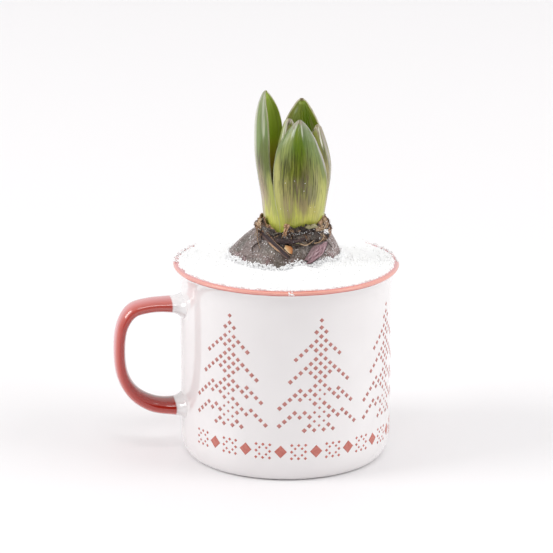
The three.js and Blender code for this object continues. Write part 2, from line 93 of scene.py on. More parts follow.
def heading(bearing):
    """The direction at a bearing in degrees: 0 faces -Y, and 90 faces +X"""
    angle = math.radians(bearing)
    return Vector((math.sin(angle), -math.cos(angle), 0))


def through(rows):
    """A smooth curve through rows of numbers, read at the first number of each row"""
    def read(at):
        last = len(rows) - 1
        i = next((k for k in range(1, last) if at < rows[k][0]), last)
        before, after = rows[i - 1], rows[i]
        step = after[0] - before[0]
        previous = rows[i - 2] if i > 1 else None
        following = rows[i + 1] if i < last else None
        low = 2 * before[0] - after[0] if previous is None else previous[0]
        high = 2 * after[0] - before[0] if following is None else following[0]
        previous = after if previous is None else previous
        following = before if following is None else following
        w_low = step / 2 / (before[0] - low)
        w_high = step / 2 / (high - after[0])
        p = (at - before[0]) / step
        weights = (
            w_low * (-p ** 3 + 2 * p ** 2 - p),
            (1 + w_low) * p ** 3 + (-1.5 - 2 * w_low) * p ** 2 + (w_low - 0.5) * p + 1,
            (-1 - w_high) * p ** 3 + (1.5 + w_high) * p ** 2 + 0.5 * p,
            w_high * (p ** 3 - p ** 2),
        )
        four = (previous, before, after, following)
        return [sum(w * row[k] for w, row in zip(weights, four)) for k in range(1, len(before))]
    return read


def smooth_path(points):
    """A smooth path through points, with its share of the way counted by the points"""
    points = [Vector(point) for point in points]
    points = [2 * points[0] - points[1], *points, 2 * points[-1] - points[-2]]

    def read(t):
        spans = len(points) - 3
        place = clamp(t) * spans
        i = min(int(place), spans - 1)
        a, b, c, d = points[i:i + 4]
        ab, bc, cd = (max((q - p).length, 1e-6) ** 0.5 for p, q in ((a, b), (b, c), (c, d)))
        first = ((b - a) / ab - (c - a) / (ab + bc) + (c - b) / bc) * bc
        second = ((c - b) / bc - (d - b) / (bc + cd) + (d - c) / cd) * bc
        s = place - i
        return (b + first * s + (3 * (c - b) - 2 * first - second) * s * s
                + (2 * (b - c) + first + second) * s ** 3)
    return read


def on_plant(x, y, z):
    """A point of the plant, which is turned a little from the mug's front"""
    c, s = math.cos(PLANT_TURN), math.sin(PLANT_TURN)
    return Vector((MUG_X + x * c - y * s, x * s + y * c, z))


def about_shoot(bearing, radius, height):
    """A point of the plant at a bearing and a radius about the shoot's axis"""
    out = heading(bearing) * radius
    return on_plant(SHOOT_X + out.x, out.y, height)


def shoot_line(height):
    """The shoot's axis at a height, both in metres"""
    return on_plant(SHOOT_X, 0, height / MM) * MM


def about_mug(bearing, radius, height):
    """A point at a bearing and a radius about the mug's axis"""
    out = heading(bearing) * radius
    return Vector((MUG_X + out.x, out.y, height))


# Mesh tools. A mesh is in metres, and the rules that place its points are in millimetres.

def sheet(columns, rows, place, joined=False):
    """A grid of faces laid out by a rule that takes the shares across and along"""
    mesh = bmesh.new()
    mesh.loops.layers.uv.new("UVMap")
    bmesh.ops.create_grid(mesh, x_segments=columns, y_segments=rows, size=0.5, calc_uvs=True)
    for corner in mesh.verts:
        corner.co = place(corner.co.x + 0.5, corner.co.y + 0.5) * MM
    if joined:
        bmesh.ops.remove_doubles(mesh, verts=mesh.verts[:], dist=1e-7)
    mesh.normal_update()
    return mesh


def close_ends(mesh):
    """Fills the open ends of a tube, and turns all its faces outwards"""
    bmesh.ops.holes_fill(mesh, edges=[edge for edge in mesh.edges if edge.is_boundary], sides=0)
    bmesh.ops.recalc_face_normals(mesh, faces=mesh.faces[:])


def add_to(whole, part):
    """Joins a small mesh to a larger one"""
    data = bpy.data.meshes.new("part")
    part.to_mesh(data)
    part.free()
    whole.from_mesh(data)
    bpy.data.meshes.remove(data)


def face_outwards(mesh, centre=shoot_line):
    """Turns an open sheet so that it faces away from a centre line"""
    facing = sum((face.calc_center_median() - centre(face.calc_center_median().z)).dot(face.normal)
                 * face.calc_area() for face in mesh.faces)
    if facing < 0:
        bmesh.ops.reverse_faces(mesh, faces=mesh.faces[:])


def piece(name, mesh, *finishes, replaces=(), slot=None):
    """A visible piece of the object, on its only body"""
    data = bpy.data.meshes.new(name)
    mesh.normal_update()
    mesh.to_mesh(data)
    mesh.free()
    data.shade_smooth()
    for finish in finishes:
        data.materials.append(finish)
    made = bpy.data.objects.new(name, data)
    bpy.context.collection.objects.link(made)
    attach(made, "root")
    if replaces:
        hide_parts(*replaces)
    return made


def thicken(made, thickness, weight=None, inner=0, rim=0):
    """Gives a sheet its thickness inwards, thinner where the weight rule says so"""
    wall = made.modifiers.new("Thickness", "SOLIDIFY")
    wall.thickness = thickness * MM
    wall.offset = -1
    wall.use_even_offset = False
    wall.material_offset = inner
    wall.material_offset_rim = rim
    if weight:
        group = made.vertex_groups.new(name="Thickness")
        layer = made.data.uv_layers[0].data
        shares = {loop.vertex_index: weight(*layer[loop.index].uv) for loop in made.data.loops}
        for index, share in shares.items():
            group.add([index], share, "REPLACE")
        wall.vertex_group = group.name
        wall.thickness_vertex_group = 0
    return made


# Finish tools. Colours are given as seen on a screen, 0 to 255 each for red, green and blue.

def tone(red, green, blue):
    """A screen colour as the linear colour that shaders take"""
    def linear(value):
        value /= 255
        return value / 12.92 if value <= 0.04045 else ((value + 0.055) / 1.055) ** 2.4
    return (linear(red), linear(green), linear(blue), 1.0)


def as_colour(value):
    """A screen colour made linear; a colour that comes from another node stays as it is"""
    return tone(*value) if isinstance(value, tuple) else value


class Finish:
    """A procedural material on the standard shader"""

    def __init__(self, name, **values):
        self.material = bpy.data.materials.new(name)
        self.material.use_nodes = True
        self.tree = self.material.node_tree
        self.shader = self.tree.nodes["Principled BSDF"]
        for socket, value in values.items():
            self.shader.inputs[socket.replace("_", " ")].default_value = value
        coordinates = self.tree.nodes.new("ShaderNodeTexCoord")
        self.place = coordinates.outputs["Object"]
        self.uv = coordinates.outputs["UV"]

    def put(self, socket, value):
        if isinstance(value, bpy.types.NodeSocket):
            self.tree.links.new(value, socket)
        else:
            socket.default_value = value

    def node(self, kind, inputs, **settings):
        """A node with its settings, and with a value or a link for each input"""
        made = self.tree.nodes.new("ShaderNode" + kind)
        for name, value in settings.items():
            setattr(made, name, value)
        for socket, value in inputs.items():
            self.put(made.inputs[socket], value)
        return made

    def stretched(self, source, scale, offset=(0, 0, 0)):
        return self.node("Mapping", {"Vector": source, "Scale": scale, "Location": offset}).outputs[0]

    def turned(self, source, place, angle):
        """Coordinates about a spot, with the first axis turned to an angle"""
        inputs = {"Vector": source, "Location": place, "Rotation": (0, 0, angle)}
        return self.node("Mapping", inputs, vector_type="TEXTURE").outputs[0]

    def join(self, x, y, z):
        return self.node("CombineXYZ", {0: x, 1: y, 2: z}).outputs[0]

    def parts(self, source):
        return self.node("SeparateXYZ", {0: source}).outputs[:3]

    def shares(self):
        """The shares across and along a piece"""
        return self.parts(self.uv)[:2]

    def math(self, kind, *values):
        return self.node("Math", dict(enumerate(values)), operation=kind).outputs[0]

    def times(self, first, *others):
        """The product of all the values"""
        for other in others:
            first = self.math("MULTIPLY", first, other)
        return first

    def line(self, value, slope, start):
        """A value times a slope, plus a start"""
        return self.math("MULTIPLY_ADD", value, slope, start)

    def away(self, value, middle):
        """How far a value is from a middle, to either side"""
        return self.math("ABSOLUTE", self.math("SUBTRACT", value, middle))

    def band(self, value, low, high, kind="SMOOTHSTEP"):
        """0 below low and 1 above high, or the other way round where low is above high"""
        inputs = {"Value": value, "From Min": min(low, high), "From Max": max(low, high),
                  "To Min": float(low > high), "To Max": float(low < high)}
        return self.node("MapRange", inputs, interpolation_type=kind).outputs["Result"]

    def grain(self, source, scale, detail=3.0, roughness=0.5, distortion=0.0):
        inputs = {"Vector": source, "Scale": scale, "Detail": detail, "Roughness": roughness,
                  "Distortion": distortion}
        return self.node("TexNoise", inputs).outputs["Fac"]

    def fibres(self, source, stretch, detail, roughness=0.5, distortion=0.0, offset=(0, 0, 0)):
        """Grain that is drawn out by a different scale for each axis"""
        return self.grain(self.stretched(source, stretch, offset), 1, detail, roughness, distortion)

    def cells(self, source, scale):
        return self.node("TexVoronoi", {"Vector": source, "Scale": scale}).outputs["Distance"]

    def ramp(self, value, *stops):
        """Colours that blend from stop to stop. A stop is a value and its colour."""
        node = self.node("ValToRGB", {"Fac": value})
        marks = node.color_ramp.elements
        while len(marks) < len(stops):
            marks.new(0.5)
        for mark, (position, *colour) in zip(marks, stops):
            mark.position = position
            mark.color = tone(*colour)
        return node.outputs["Color"]

    def mix(self, share, first, second):
        inputs = {0: share, 6: as_colour(first), 7: as_colour(second)}
        return self.node("Mix", inputs, data_type="RGBA").outputs[2]

    def over(self, colour, tint, *shares):
        """A tint laid over a colour, as strong as the product of the shares"""
        return self.mix(self.times(*shares), colour, tint)

    def spots(self, colour, across, height, blot, patches):
        """Soft spots of colour. Each has its share across, half width, height, half height, colour,
        strength, and how broken it is."""
        for at, wide, middle, tall, tint, strength, broken in patches:
            sideways = self.line(across, 1 / wide, -at / wide)
            upward = self.line(height, 1 / (tall * MM), -middle / tall)
            reach = self.line(sideways, sideways, self.times(upward, upward))
            share = self.line(blot, broken * strength, (1 - broken) * strength)
            colour = self.over(colour, tint, self.band(reach, 1.2, 0.05), share)
        return colour

    def relief(self, height, distance, strength=1.0):
        made = self.node("Bump", {"Strength": strength, "Distance": distance, "Height": height})
        self.put(self.shader.inputs["Normal"], made.outputs["Normal"])

    def paint(self, colour, roughness=None):
        self.put(self.shader.inputs["Base Color"], as_colour(colour))
        if roughness is not None:
            self.put(self.shader.inputs["Roughness"], roughness)
        return self.material


# Finishes of the pot

def mug_glaze():
    """White glaze, red from just below the lip and along the handle. Round the handle the red runs from
    painted shade on its inner side, through a strong red on its front and back, to a pale pink painted sheen
    on its outer side, with painted light on its top.
    The lip has painted shade along its lower edge, a rose painted sheen at its left and right, and a pale
    painted highlight on its crest."""
    glaze = Finish("white and red glaze", Roughness=0.12, IOR=1.6, Coat_Weight=0.8, Coat_Roughness=0.04)
    x, y, z = glaze.parts(glaze.stretched(glaze.place, (1, 1, 1), (-MUG_X * MM, 0, 0)))
    out = glaze.math("SQRT", glaze.math("ADD", glaze.times(x, x), glaze.times(y, y)))
    wobble = glaze.line(glaze.grain(glaze.place, 90, 2), 0.0006, -0.0003)
    lip = glaze.band(glaze.math("ADD", z, wobble), 76.5 * MM, 76.75 * MM)
    near = glaze.line(glaze.band(z, 44 * MM, 36 * MM), 0.0012, out)
    strap = glaze.band(glaze.math("ADD", near, wobble), 46.4 * MM, 47.1 * MM)
    cloud = glaze.grain(glaze.place, 22, 3, 0.6)
    white = glaze.ramp(cloud, (0.3, 236, 232, 232), (0.7, 243, 240, 240))
    # The handle's colour by how far round it a spot lies: painted shade on its inner side, a strong red on
    # its front and back, and a pale pink painted sheen on its outer side
    facing = glaze.line(cloud, 0.08, glaze.away(glaze.shares()[0], 0.5))
    handle_red_shade_sheen = glaze.ramp(facing, (0.06, 146, 44, 34), (0.2, 166, 34, 18), (0.3, 178, 38, 22),
                      (0.4, 196, 80, 68), (0.5, 216, 142, 146))
    # Painted light on the top of the handle
    handle_red_shade_sheen = glaze.over(handle_red_shade_sheen, (220, 130, 120), glaze.band(z, 54 * MM, 65 * MM), 0.3)
    bright = glaze.ramp(cloud, (0.3, 216, 124, 116), (0.7, 228, 144, 136))
    # Painted shade along the lower edge of the lip
    bright = glaze.over(bright, (184, 78, 62), glaze.band(z, 77.2 * MM, 76.8 * MM), 0.7)
    # A rose painted sheen on the lip at its left and right
    bright = glaze.over(bright, (212, 130, 136), glaze.band(glaze.away(x, 0), 33 * MM, 43 * MM), 0.7)
    # A pale painted highlight on the lip's crest
    crest = glaze.times(glaze.band(out, 44.1 * MM, 44.6 * MM), glaze.band(z, 77 * MM, 77.4 * MM))
    bright = glaze.over(bright, (248, 184, 164), crest, 0.5)
    glaze.relief(glaze.grain(glaze.place, 140, 2), 0.00008, 0.25)
    return glaze.paint(glaze.mix(glaze.math("MAXIMUM", lip, strap), white, glaze.mix(lip, handle_red_shade_sheen, bright)))


def print_red(name, low, high):
    ink = Finish(name, Roughness=0.22, IOR=1.5)
    return ink.paint(ink.ramp(ink.grain(ink.place, 900, 3, 0.6), (0.3, *low), (0.7, *high)))


def granule_white():
    salt = Finish("white granules", Roughness=0.75, IOR=1.4)
    salt.relief(salt.grain(salt.place, 2600, 2), 0.0001, 0.5)
    speck = salt.grain(salt.place, 700, 3, 0.6)
    return salt.paint(salt.ramp(speck, (0.3, 249, 249, 250), (0.7, 254, 254, 254)))


def soil_brown():
    soil = Finish("potting soil", Roughness=0.95)
    fibre = soil.grain(soil.place, 260, 5, 0.7)
    soil.relief(soil.math("ADD", soil.cells(soil.place, 420), fibre), 0.0008, 0.8)
    return soil.paint(soil.ramp(fibre, (0.3, 38, 28, 22), (0.55, 70, 52, 38), (0.75, 110, 86, 62)))


# Finishes of the plant

def root_cream():
    root = Finish("fleshy root", Roughness=0.6)
    rings = root.fibres(root.place, (200, 200, 700), 4, 0.6)
    root.relief(rings, 0.0003, 0.5)
    return root.paint(root.ramp(rings, (0.3, 206, 190, 150), (0.7, 240, 232, 206)))


def bulb_skin():
    """Papery skin: grey-purple at the sides, greenish grey in front, pinker low down, with blotches,
    streaks, specks and dust"""
    skin = Finish("bulb skin", Roughness=0.5, IOR=1.45)
    height = skin.parts(skin.place)[2]
    streak = skin.fibres(skin.uv, (150, 9, 1), 5, 0.65, 0.3)
    patch = skin.grain(skin.place, 130, 4, 0.6)
    purple = skin.ramp(patch, (0.25, 100, 86, 82), (0.5, 140, 124, 120), (0.75, 170, 152, 150))
    green = skin.ramp(patch, (0.25, 84, 78, 70), (0.5, 112, 104, 96), (0.75, 140, 130, 120))
    colour = skin.mix(skin.band(skin.away(skin.shares()[0], 0.49), 0.05, 0.14), green, purple)
    low = skin.band(height, 87 * MM, 82.5 * MM)
    colour = skin.over(colour, (134, 92, 98), low, skin.band(patch, 0.4, 0.62), 0.7)
    blotch = skin.fibres(skin.place, (90, 90, 45), 5, 0.7, 0.8)
    colour = skin.over(colour, (80, 66, 56), skin.band(blotch, 0.5, 0.38), 0.75)
    colour = skin.over(colour, (178, 162, 158), skin.band(blotch, 0.54, 0.68), 0.45)
    colour = skin.over(colour, (62, 52, 54), skin.band(streak, 0.48, 0.34), 0.8)
    colour = skin.over(colour, (176, 164, 160), skin.band(streak, 0.58, 0.72), 0.55)
    speck = skin.band(skin.cells(skin.place, 980), 0.3, 0.2)
    colour = skin.over(colour, (240, 238, 238), speck, skin.band(skin.grain(skin.place, 260), 0.46, 0.58))
    dust = skin.band(skin.grain(skin.place, 1300, 3, 0.7), 0.52, 0.66)
    colour = skin.over(colour, (196, 186, 182), dust, 0.5)
    skin.relief(skin.line(streak, 0.7, patch), 0.0005, 0.7)
    return skin.paint(colour, skin.band(patch, 0.2, 0.9, "LINEAR"))


def dried_scale(name, dark, middle, light, shift, gloss=0.6):
    """Crumpled dried scale with fine fibres along it"""
    paper = Finish(name, Roughness=gloss, IOR=1.45)
    fibre = paper.fibres(paper.uv, (60, 5, 1), 5, 0.7, 0.4, (shift, shift, 0))
    patch = paper.grain(paper.stretched(paper.place, (1, 1, 1), (shift, 0, 0)), 330, 5, 0.65)
    value = paper.line(fibre, 0.45, paper.times(patch, 0.55))
    paper.relief(value, 0.0006, 0.8)
    return paper.paint(paper.ramp(value, (0.36, *dark), (0.5, *middle), (0.66, *light)))


def collar_mix():
    """Collar: near black in front, brown and tan at the ends, with pale fibres; on the near-black part the
    palest of them are also painted highlights
    """
    paper = Finish("torn collar", Roughness=0.62, IOR=1.45)
    around = paper.shares()[0]
    fibre = paper.fibres(paper.uv, (90, 4, 1), 5, 0.7, 0.6)
    value = paper.line(fibre, 0.4, paper.times(paper.grain(paper.place, 300, 5, 0.65, 0.3), 0.6))
    # The pale tones of the near-black part are pale fibres and painted highlights on them
    black = paper.ramp(value, (0.38, 24, 18, 16), (0.5, 56, 42, 33), (0.58, 128, 110, 94),
                       (0.67, 206, 192, 172))
    brown = paper.ramp(value, (0.36, 64, 42, 34), (0.5, 146, 108, 82), (0.64, 216, 184, 148))
    front = paper.times(paper.band(around, 0.4, 0.46), paper.band(around, 0.63, 0.58))
    paper.relief(value, 0.0008, 0.9)
    return paper.paint(paper.mix(front, brown, black))


def flap_mix():
    """Narrow flap: dark in the middle, with a tan left edge and a thin pale right one"""
    paper = Finish("folded flap", Roughness=0.5, IOR=1.45)
    across, along = paper.shares()
    fibre = paper.fibres(paper.uv, (9, 26, 1), 4, 0.6)
    moved = paper.line(fibre, 0.2, across)
    tan = paper.ramp(fibre, (0.3, 150, 104, 76), (0.55, 196, 160, 128), (0.7, 216, 196, 170))
    dark = paper.ramp(fibre, (0.3, 38, 26, 28), (0.6, 70, 54, 56), (0.75, 104, 84, 82))
    tan_part = paper.times(paper.band(along, 0.42, 0.52), paper.band(along, 0.82, 0.7))
    left_edge = paper.mix(tan_part, (100, 78, 72), tan)
    colour = paper.mix(paper.band(moved, 0.3, 0.36), left_edge, dark)
    colour = paper.over(colour, tan, paper.band(moved, 0.98, 1.04), paper.band(along, 0.3, 0.6))
    paper.relief(fibre, 0.0004, 0.7)
    return paper.paint(colour)


def flake_mix():
    paper = Finish("tan flake", Roughness=0.55, IOR=1.45)
    fibre = paper.fibres(paper.uv, (14, 4, 1), 4, 0.6)
    shade = paper.line(fibre, 0.35, paper.times(paper.shares()[0], 0.8))
    paper.relief(fibre, 0.0004, 0.7)
    return paper.paint(paper.ramp(shade, (0.15, 224, 204, 168), (0.5, 208, 160, 106), (0.85, 178, 112, 58)))


def scale_purple():
    """Purple scale: folds with dark and pale tones that are painted shade and painted highlights, painted
    shade that makes its left side greyer, and a painted shadow along its right edge
    """
    paper = Finish("purple scale", Roughness=0.42, IOR=1.45)
    fold = paper.fibres(paper.uv, (7, 4, 1), 5, 0.65, 0.5)
    # The folds' dark and pale tones are painted shade and painted highlights
    colour = paper.ramp(fold, (0.34, 74, 50, 56), (0.45, 140, 104, 112), (0.56, 170, 136, 142),
                        (0.68, 216, 198, 202))
    moved = paper.line(fold, 0.25, paper.shares()[0])
    # Painted shade that makes the left side greyer
    colour = paper.over(colour, (116, 98, 98), paper.band(moved, 0.6, 0.2), 0.6)
    # A painted shadow along the right edge
    colour = paper.over(colour, (56, 42, 44), paper.band(moved, 0.98, 1.06), 0.85)
    paper.relief(fold, 0.0005, 0.7)
    return paper.paint(colour)


def leaf_outer(name, axis, stops, sheen_colour, shine, stain, stain_share, keel_share, patches=(),
               hood=0.0, hood_at=0.5):
    """Waxy outer face: colours up the leaf, a bright keel, dark broken streaks in its middle, and a painted
    silvery sheen.
    The axis gives the leaf's middle line and the bearing of its keel. The shine gives the sheen's strength,
    and how far from the keel it begins and is full.
    The hood is the folded tip, with painted shade in its hollow. The patches are spots of colour, some of
    them painted highlights, painted sheen and painted shade."""
    leaf = Finish(name, Roughness=0.26, IOR=1.45)
    across, along = leaf.shares()
    x, y, height = leaf.parts(leaf.turned(leaf.place, on_plant(axis[0], axis[1], 0) * MM,
                                          math.radians(axis[2] - 90) + PLANT_TURN))
    around = leaf.join(leaf.math("ARCTAN2", y, x), height, 0.0)
    broad = leaf.fibres(around, (2.9, 50, 1), 3, 0.6, offset=(stain_share * 7, shine[0], 0))
    streak = leaf.fibres(around, (19, 48, 1), 4, 0.65, 0.1, (shine[0], 0, 0))
    fine = leaf.fibres(around, (27, 85, 1), 3, 0.6)
    mixed = leaf.line(streak, 0.45, leaf.line(broad, 0.35, leaf.times(fine, 0.2)))
    uneven = leaf.line(leaf.math("SUBTRACT", mixed, 0.5), 0.035, height)

    def above(low, full):
        return leaf.band(uneven, low * MM, full * MM)
    off_keel = leaf.away(across, 0.5)
    inside = leaf.band(off_keel, 0.44, 0.28)
    blot = leaf.band(mixed, 0.44, 0.53)
    window = leaf.times(above(104, 110), above(129, 120))
    colour = leaf.ramp(leaf.band(uneven, 94 * MM, 144 * MM, "LINEAR"), *stops)
    # A painted silvery sheen away from the keel, broken by the streaks
    painted_sheen = leaf.times(leaf.band(off_keel, *shine[1:]), above(98, 120))
    colour = leaf.over(colour, sheen_colour, painted_sheen, leaf.line(leaf.band(streak, 0.4, 0.6), 0.6, 0.4), shine[0])
    colour = leaf.over(colour, (108, 136, 20), leaf.band(off_keel, 0.14, 0.02), above(106, 120), keel_share)
    mauve = leaf.times(leaf.band(mixed, 0.42, 0.52), above(94, 100), above(114, 106), 0.6)
    colour = leaf.over(colour, (150, 130, 104), mauve, inside)
    colour = leaf.over(colour, stain, blot, window, inside, stain_share)
    colour = leaf.over(colour, (188, 182, 156), leaf.band(off_keel, 0.47, 0.498), 0.6)

    from_hood = leaf.away(across, hood_at)
    pale = leaf.times(leaf.band(along, 0.72, 0.88), leaf.band(from_hood, 0.07, 0.13))
    colour = leaf.over(colour, (214, 202, 194), pale, 0.25 + 0.6 * hood)
    # Painted shade in the hollow of the hooded tip
    hollow = leaf.times(leaf.band(along, 0.66, 0.76), leaf.band(along, 0.985, 0.93))
    colour = leaf.over(colour, (66, 44, 42), hollow, leaf.band(from_hood, 0.12, 0.06), hood)
    # Spots of colour, some of them painted highlights, painted sheen and painted shade
    colour = leaf.spots(colour, across, uneven, blot, patches)

    mottled = leaf.line(leaf.times(window, inside), 0.5, 0.22)
    colour = leaf.over(colour, (62, 64, 28), leaf.band(fine, 0.49, 0.4), mottled)
    colour = leaf.over(colour, (168, 172, 84), leaf.band(fine, 0.53, 0.64), mottled, 0.7)
    leaf.relief(leaf.line(fine, 0.5, streak), 0.00025, 0.35)
    return leaf.paint(colour)


def leaf_inner_face(name, stops, brown, patches=()):
    """Smooth inner face: colours up the leaf, browner at its edges"""
    leaf = Finish(name, Roughness=0.38, IOR=1.45)
    across = leaf.shares()[0]
    height = leaf.parts(leaf.place)[2]
    fine = leaf.fibres(leaf.uv, (40, 3, 1), 4, 0.6)
    colour = leaf.ramp(leaf.band(height, 100 * MM, 146 * MM, "LINEAR"), *stops)
    colour = leaf.over(colour, (140, 160, 70), leaf.band(fine, 0.5, 0.66), 0.3)
    colour = leaf.over(colour, (126, 100, 70), leaf.band(leaf.away(across, 0.5), 0.3, 0.5), brown)
    colour = leaf.spots(colour, across, height, leaf.band(fine, 0.42, 0.55), patches)
    leaf.relief(fine, 0.0002, 0.4)
    return leaf.paint(colour)


def leaf_margin():
    edge = Finish("leaf margin", Roughness=0.4, IOR=1.45)
    return edge.paint(edge.ramp(edge.grain(edge.place, 600), (0.3, 156, 150, 112), (0.7, 196, 190, 160)))


def bud_green():
    bud = Finish("packed buds", Roughness=0.45, IOR=1.45)
    veins = bud.fibres(bud.uv, (16, 2, 1), 3)
    colour = bud.ramp(bud.shares()[1], (0.1, 96, 120, 60), (0.55, 136, 158, 92), (0.95, 176, 184, 140))
    bud.relief(veins, 0.0002, 0.5)
    return bud.paint(bud.over(colour, (104, 110, 92), bud.band(veins, 0.5, 0.7), 0.4))


# Mug: a body of revolution, and a strap swept for its handle

def quarter_oval(outer, bottom, width, height, steps):
    """Points of a rounded lower edge, from its foot up to its side"""
    angles = [(i / steps - 1) * math.pi / 2 for i in range(steps + 1)]
    return [(outer - width * (1 - math.cos(a)), bottom + height * (1 + math.sin(a))) for a in angles]


# Lip: radius and height, from the wall outside, over the top, to the wall inside
LIP = [
    (BODY_RADIUS, 68), (BODY_RADIUS + 0.2, 71.5), (BODY_RADIUS + 0.8, 74.2), (RIM_RADIUS - 1, 76.2),
    (RIM_RADIUS - 0.2, 77), (RIM_RADIUS, 77.7), (RIM_RADIUS - 0.5, RIM_HEIGHT - 0.5),
    (RIM_RADIUS - 1.6, RIM_HEIGHT - 0.3), (RIM_RADIUS - 3, RIM_HEIGHT - 0.8),
    (RIM_RADIUS - 4, RIM_HEIGHT - 1.8), (RIM_RADIUS - 4.9, RIM_HEIGHT - 4),
    (BODY_RADIUS - WALL + 0.4, 71), (BODY_RADIUS - WALL, 67),
]


def mug_profile():
    lip = smooth_path([(radius, 0, height) for radius, height in LIP])
    points = [(0, FOOT_RECESS), (FOOT_INNER - 1.2, FOOT_RECESS), (FOOT_INNER - 0.5, 0.9), (FOOT_INNER, 0.15),
              (FOOT_INNER + 0.4, 0)]
    points += quarter_oval(BODY_RADIUS, 0, BODY_RADIUS - FOOT_OUTER, EDGE_HEIGHT, 16)
    points += [(BODY_RADIUS, height) for height in (16, 24, 32, 40, 48, 56, 63)]
    points += [(spot.x, spot.z) for spot in (lip(i / 60) for i in range(61))]
    inside = quarter_oval(BODY_RADIUS - WALL, FLOOR, EDGE_HEIGHT - WALL, EDGE_HEIGHT - WALL, 8)
    return points + inside[::-1] + [(0, FLOOR)]


def mug_body(finish):
    mesh = bmesh.new()
    line = [mesh.verts.new(((MUG_X + radius) * MM, 0, height * MM)) for radius, height in mug_profile()]
    edges = [mesh.edges.new(pair) for pair in zip(line, line[1:])]
    bmesh.ops.spin(mesh, geom=line + edges, cent=(MUG_X * MM, 0, 0), axis=(0, 0, 1), angle=2 * math.pi,
                   steps=192, use_merge=True)
    bmesh.ops.remove_doubles(mesh, verts=mesh.verts[:], dist=1e-7)
    bmesh.ops.dissolve_degenerate(mesh, edges=mesh.edges[:], dist=1e-7)
    bmesh.ops.recalc_face_normals(mesh, faces=mesh.faces[:])
    return piece("mug_body", mesh, finish, replaces=["mug"], slot="glaze")


# Handle: its middle line from the mug's axis, then its thickness and width by the share of the way
HANDLE_ROUTE = [
    (BODY_RADIUS - 1.8, 62), (46.5, 62.6), (55.5, 62.4), (61.9, 60.5), (65.8, 54.8),
    (HANDLE_REACH - 2.3, 44.5), (65.9, 33.8), (61.5, 26.2), (54.2, 21.5), (46.5, 20.2),
    (BODY_RADIUS - 1.8, 20.4),
]
handle_thickness = through([
    (0, 11), (0.06, 7.4), (0.12, 6.1), (0.3, 5.6), (0.45, 4.8), (0.62, 5), (0.8, 6.4), (0.9, 6.9),
    (0.95, 8.2), (1, 11.4),
])
handle_width = through([
    (0, HANDLE_WIDTH + 6), (0.06, HANDLE_WIDTH + 1.6), (0.12, HANDLE_WIDTH), (0.5, HANDLE_WIDTH - 0.6),
    (0.88, HANDLE_WIDTH), (0.94, HANDLE_WIDTH + 1.6), (1, HANDLE_WIDTH + 6),
])


def mug_handle(finish):
    route = smooth_path([(MUG_X - reach, 0, height) for reach, height in HANDLE_ROUTE])

    def place(across, along):
        way = (route(min(along + 0.002, 1)) - route(max(along - 0.002, 0))).normalized()
        outward = Vector((0, 1, 0)).cross(way)
        angle = 2 * math.pi * across
        return (route(along) + outward * (handle_thickness(along)[0] / 2 * math.cos(angle))
                + Vector((0, handle_width(along)[0] / 2 * math.sin(angle), 0)))
    mesh = sheet(40, 120, place, joined=True)
    close_ends(mesh)
    return piece("mug_handle", mesh, finish, replaces=["mug"], slot="glaze")


# Printed pattern: fir trees of square dots over a border of diamonds and squares of dots. A row gives
# the columns of its dots on the right half of a tree, mirrored on the left. A few dots are left out, by
# row and column, and a few are small, by tree, row and column. Steps along the wall are in millimetres.
TREE_ROWS = [
    [0], [1], [0], [1], [0, 2], [1, 3], [0, 4], [1, 5], [0, 2], [1, 3], [0, 2, 4], [1, 5], [0, 6], [1],
    [0, 2, 4], [1, 3, 5], [0, 2, 4, 6], [1, 7], [0, 2, 8], [1, 3, 5], [0, 2, 4, 6], [1, 7], [0, 2, 8], [1, 3],
]
SMALL_ROWS = {16, 18, 19, 20, 21, 22}
LEFT_OUT = {(7, 5), (16, 2), (18, -2), (18, 8)}
SMALL_DOTS = {(0, 2, 0), (1, 14, 0), (1, 15, 1), (1, 16, -2)}
TREE_COUNT = 6
TREE_TOP = 62.99
TREE_START = -30.71
TREE_STEP = 36.91
ROW_STEP = 1.8075
COLUMN_STEP = 1.969
TOP_DOT = 1.6
DOT_HALF = 1.05
SMALL_DOT_HALF = 0.68
TOP_DOT_HALF = 0.97
BORDER_HEIGHT = 12.64
BORDER_START = -8.76
BORDER_STEP = 14.078
FIRST_DIAMOND, LAST_DIAMOND = -2, 12
SQUARE_STEP = 2.73
OUTER_DOT_HALF = 0.7
INNER_DOT_HALF = 0.62
DIAMOND_HALF = 2.55
PRINT_LEAN = -0.01676
PRINT_PIVOT = 40
PRINT_SUNK = 0.03
PRINT_DEPTH = 0.12


def on_print(sideways, height):
    """Bearing and height of a spot on the print, which was laid on slightly turned"""
    arc = sideways - PRINT_LEAN * (height - PRINT_PIVOT)
    return math.degrees(arc / BODY_RADIUS), height + PRINT_LEAN * sideways


def stamp(mesh, sideways, height, half):
    """A thin diamond of print on the mug's wall"""
    bearing, height = on_print(sideways, height)
    upright = Matrix.Rotation(math.radians(bearing), 4, "Z") @ Matrix.Rotation(math.radians(90), 4, "X")
    place = Matrix.Translation(about_mug(bearing, BODY_RADIUS - PRINT_SUNK, height) * MM) @ upright
    bmesh.ops.create_cone(mesh, cap_ends=True, segments=4, radius1=half * MM, radius2=half * MM * 0.96,
                          depth=PRINT_DEPTH * MM, matrix=place)


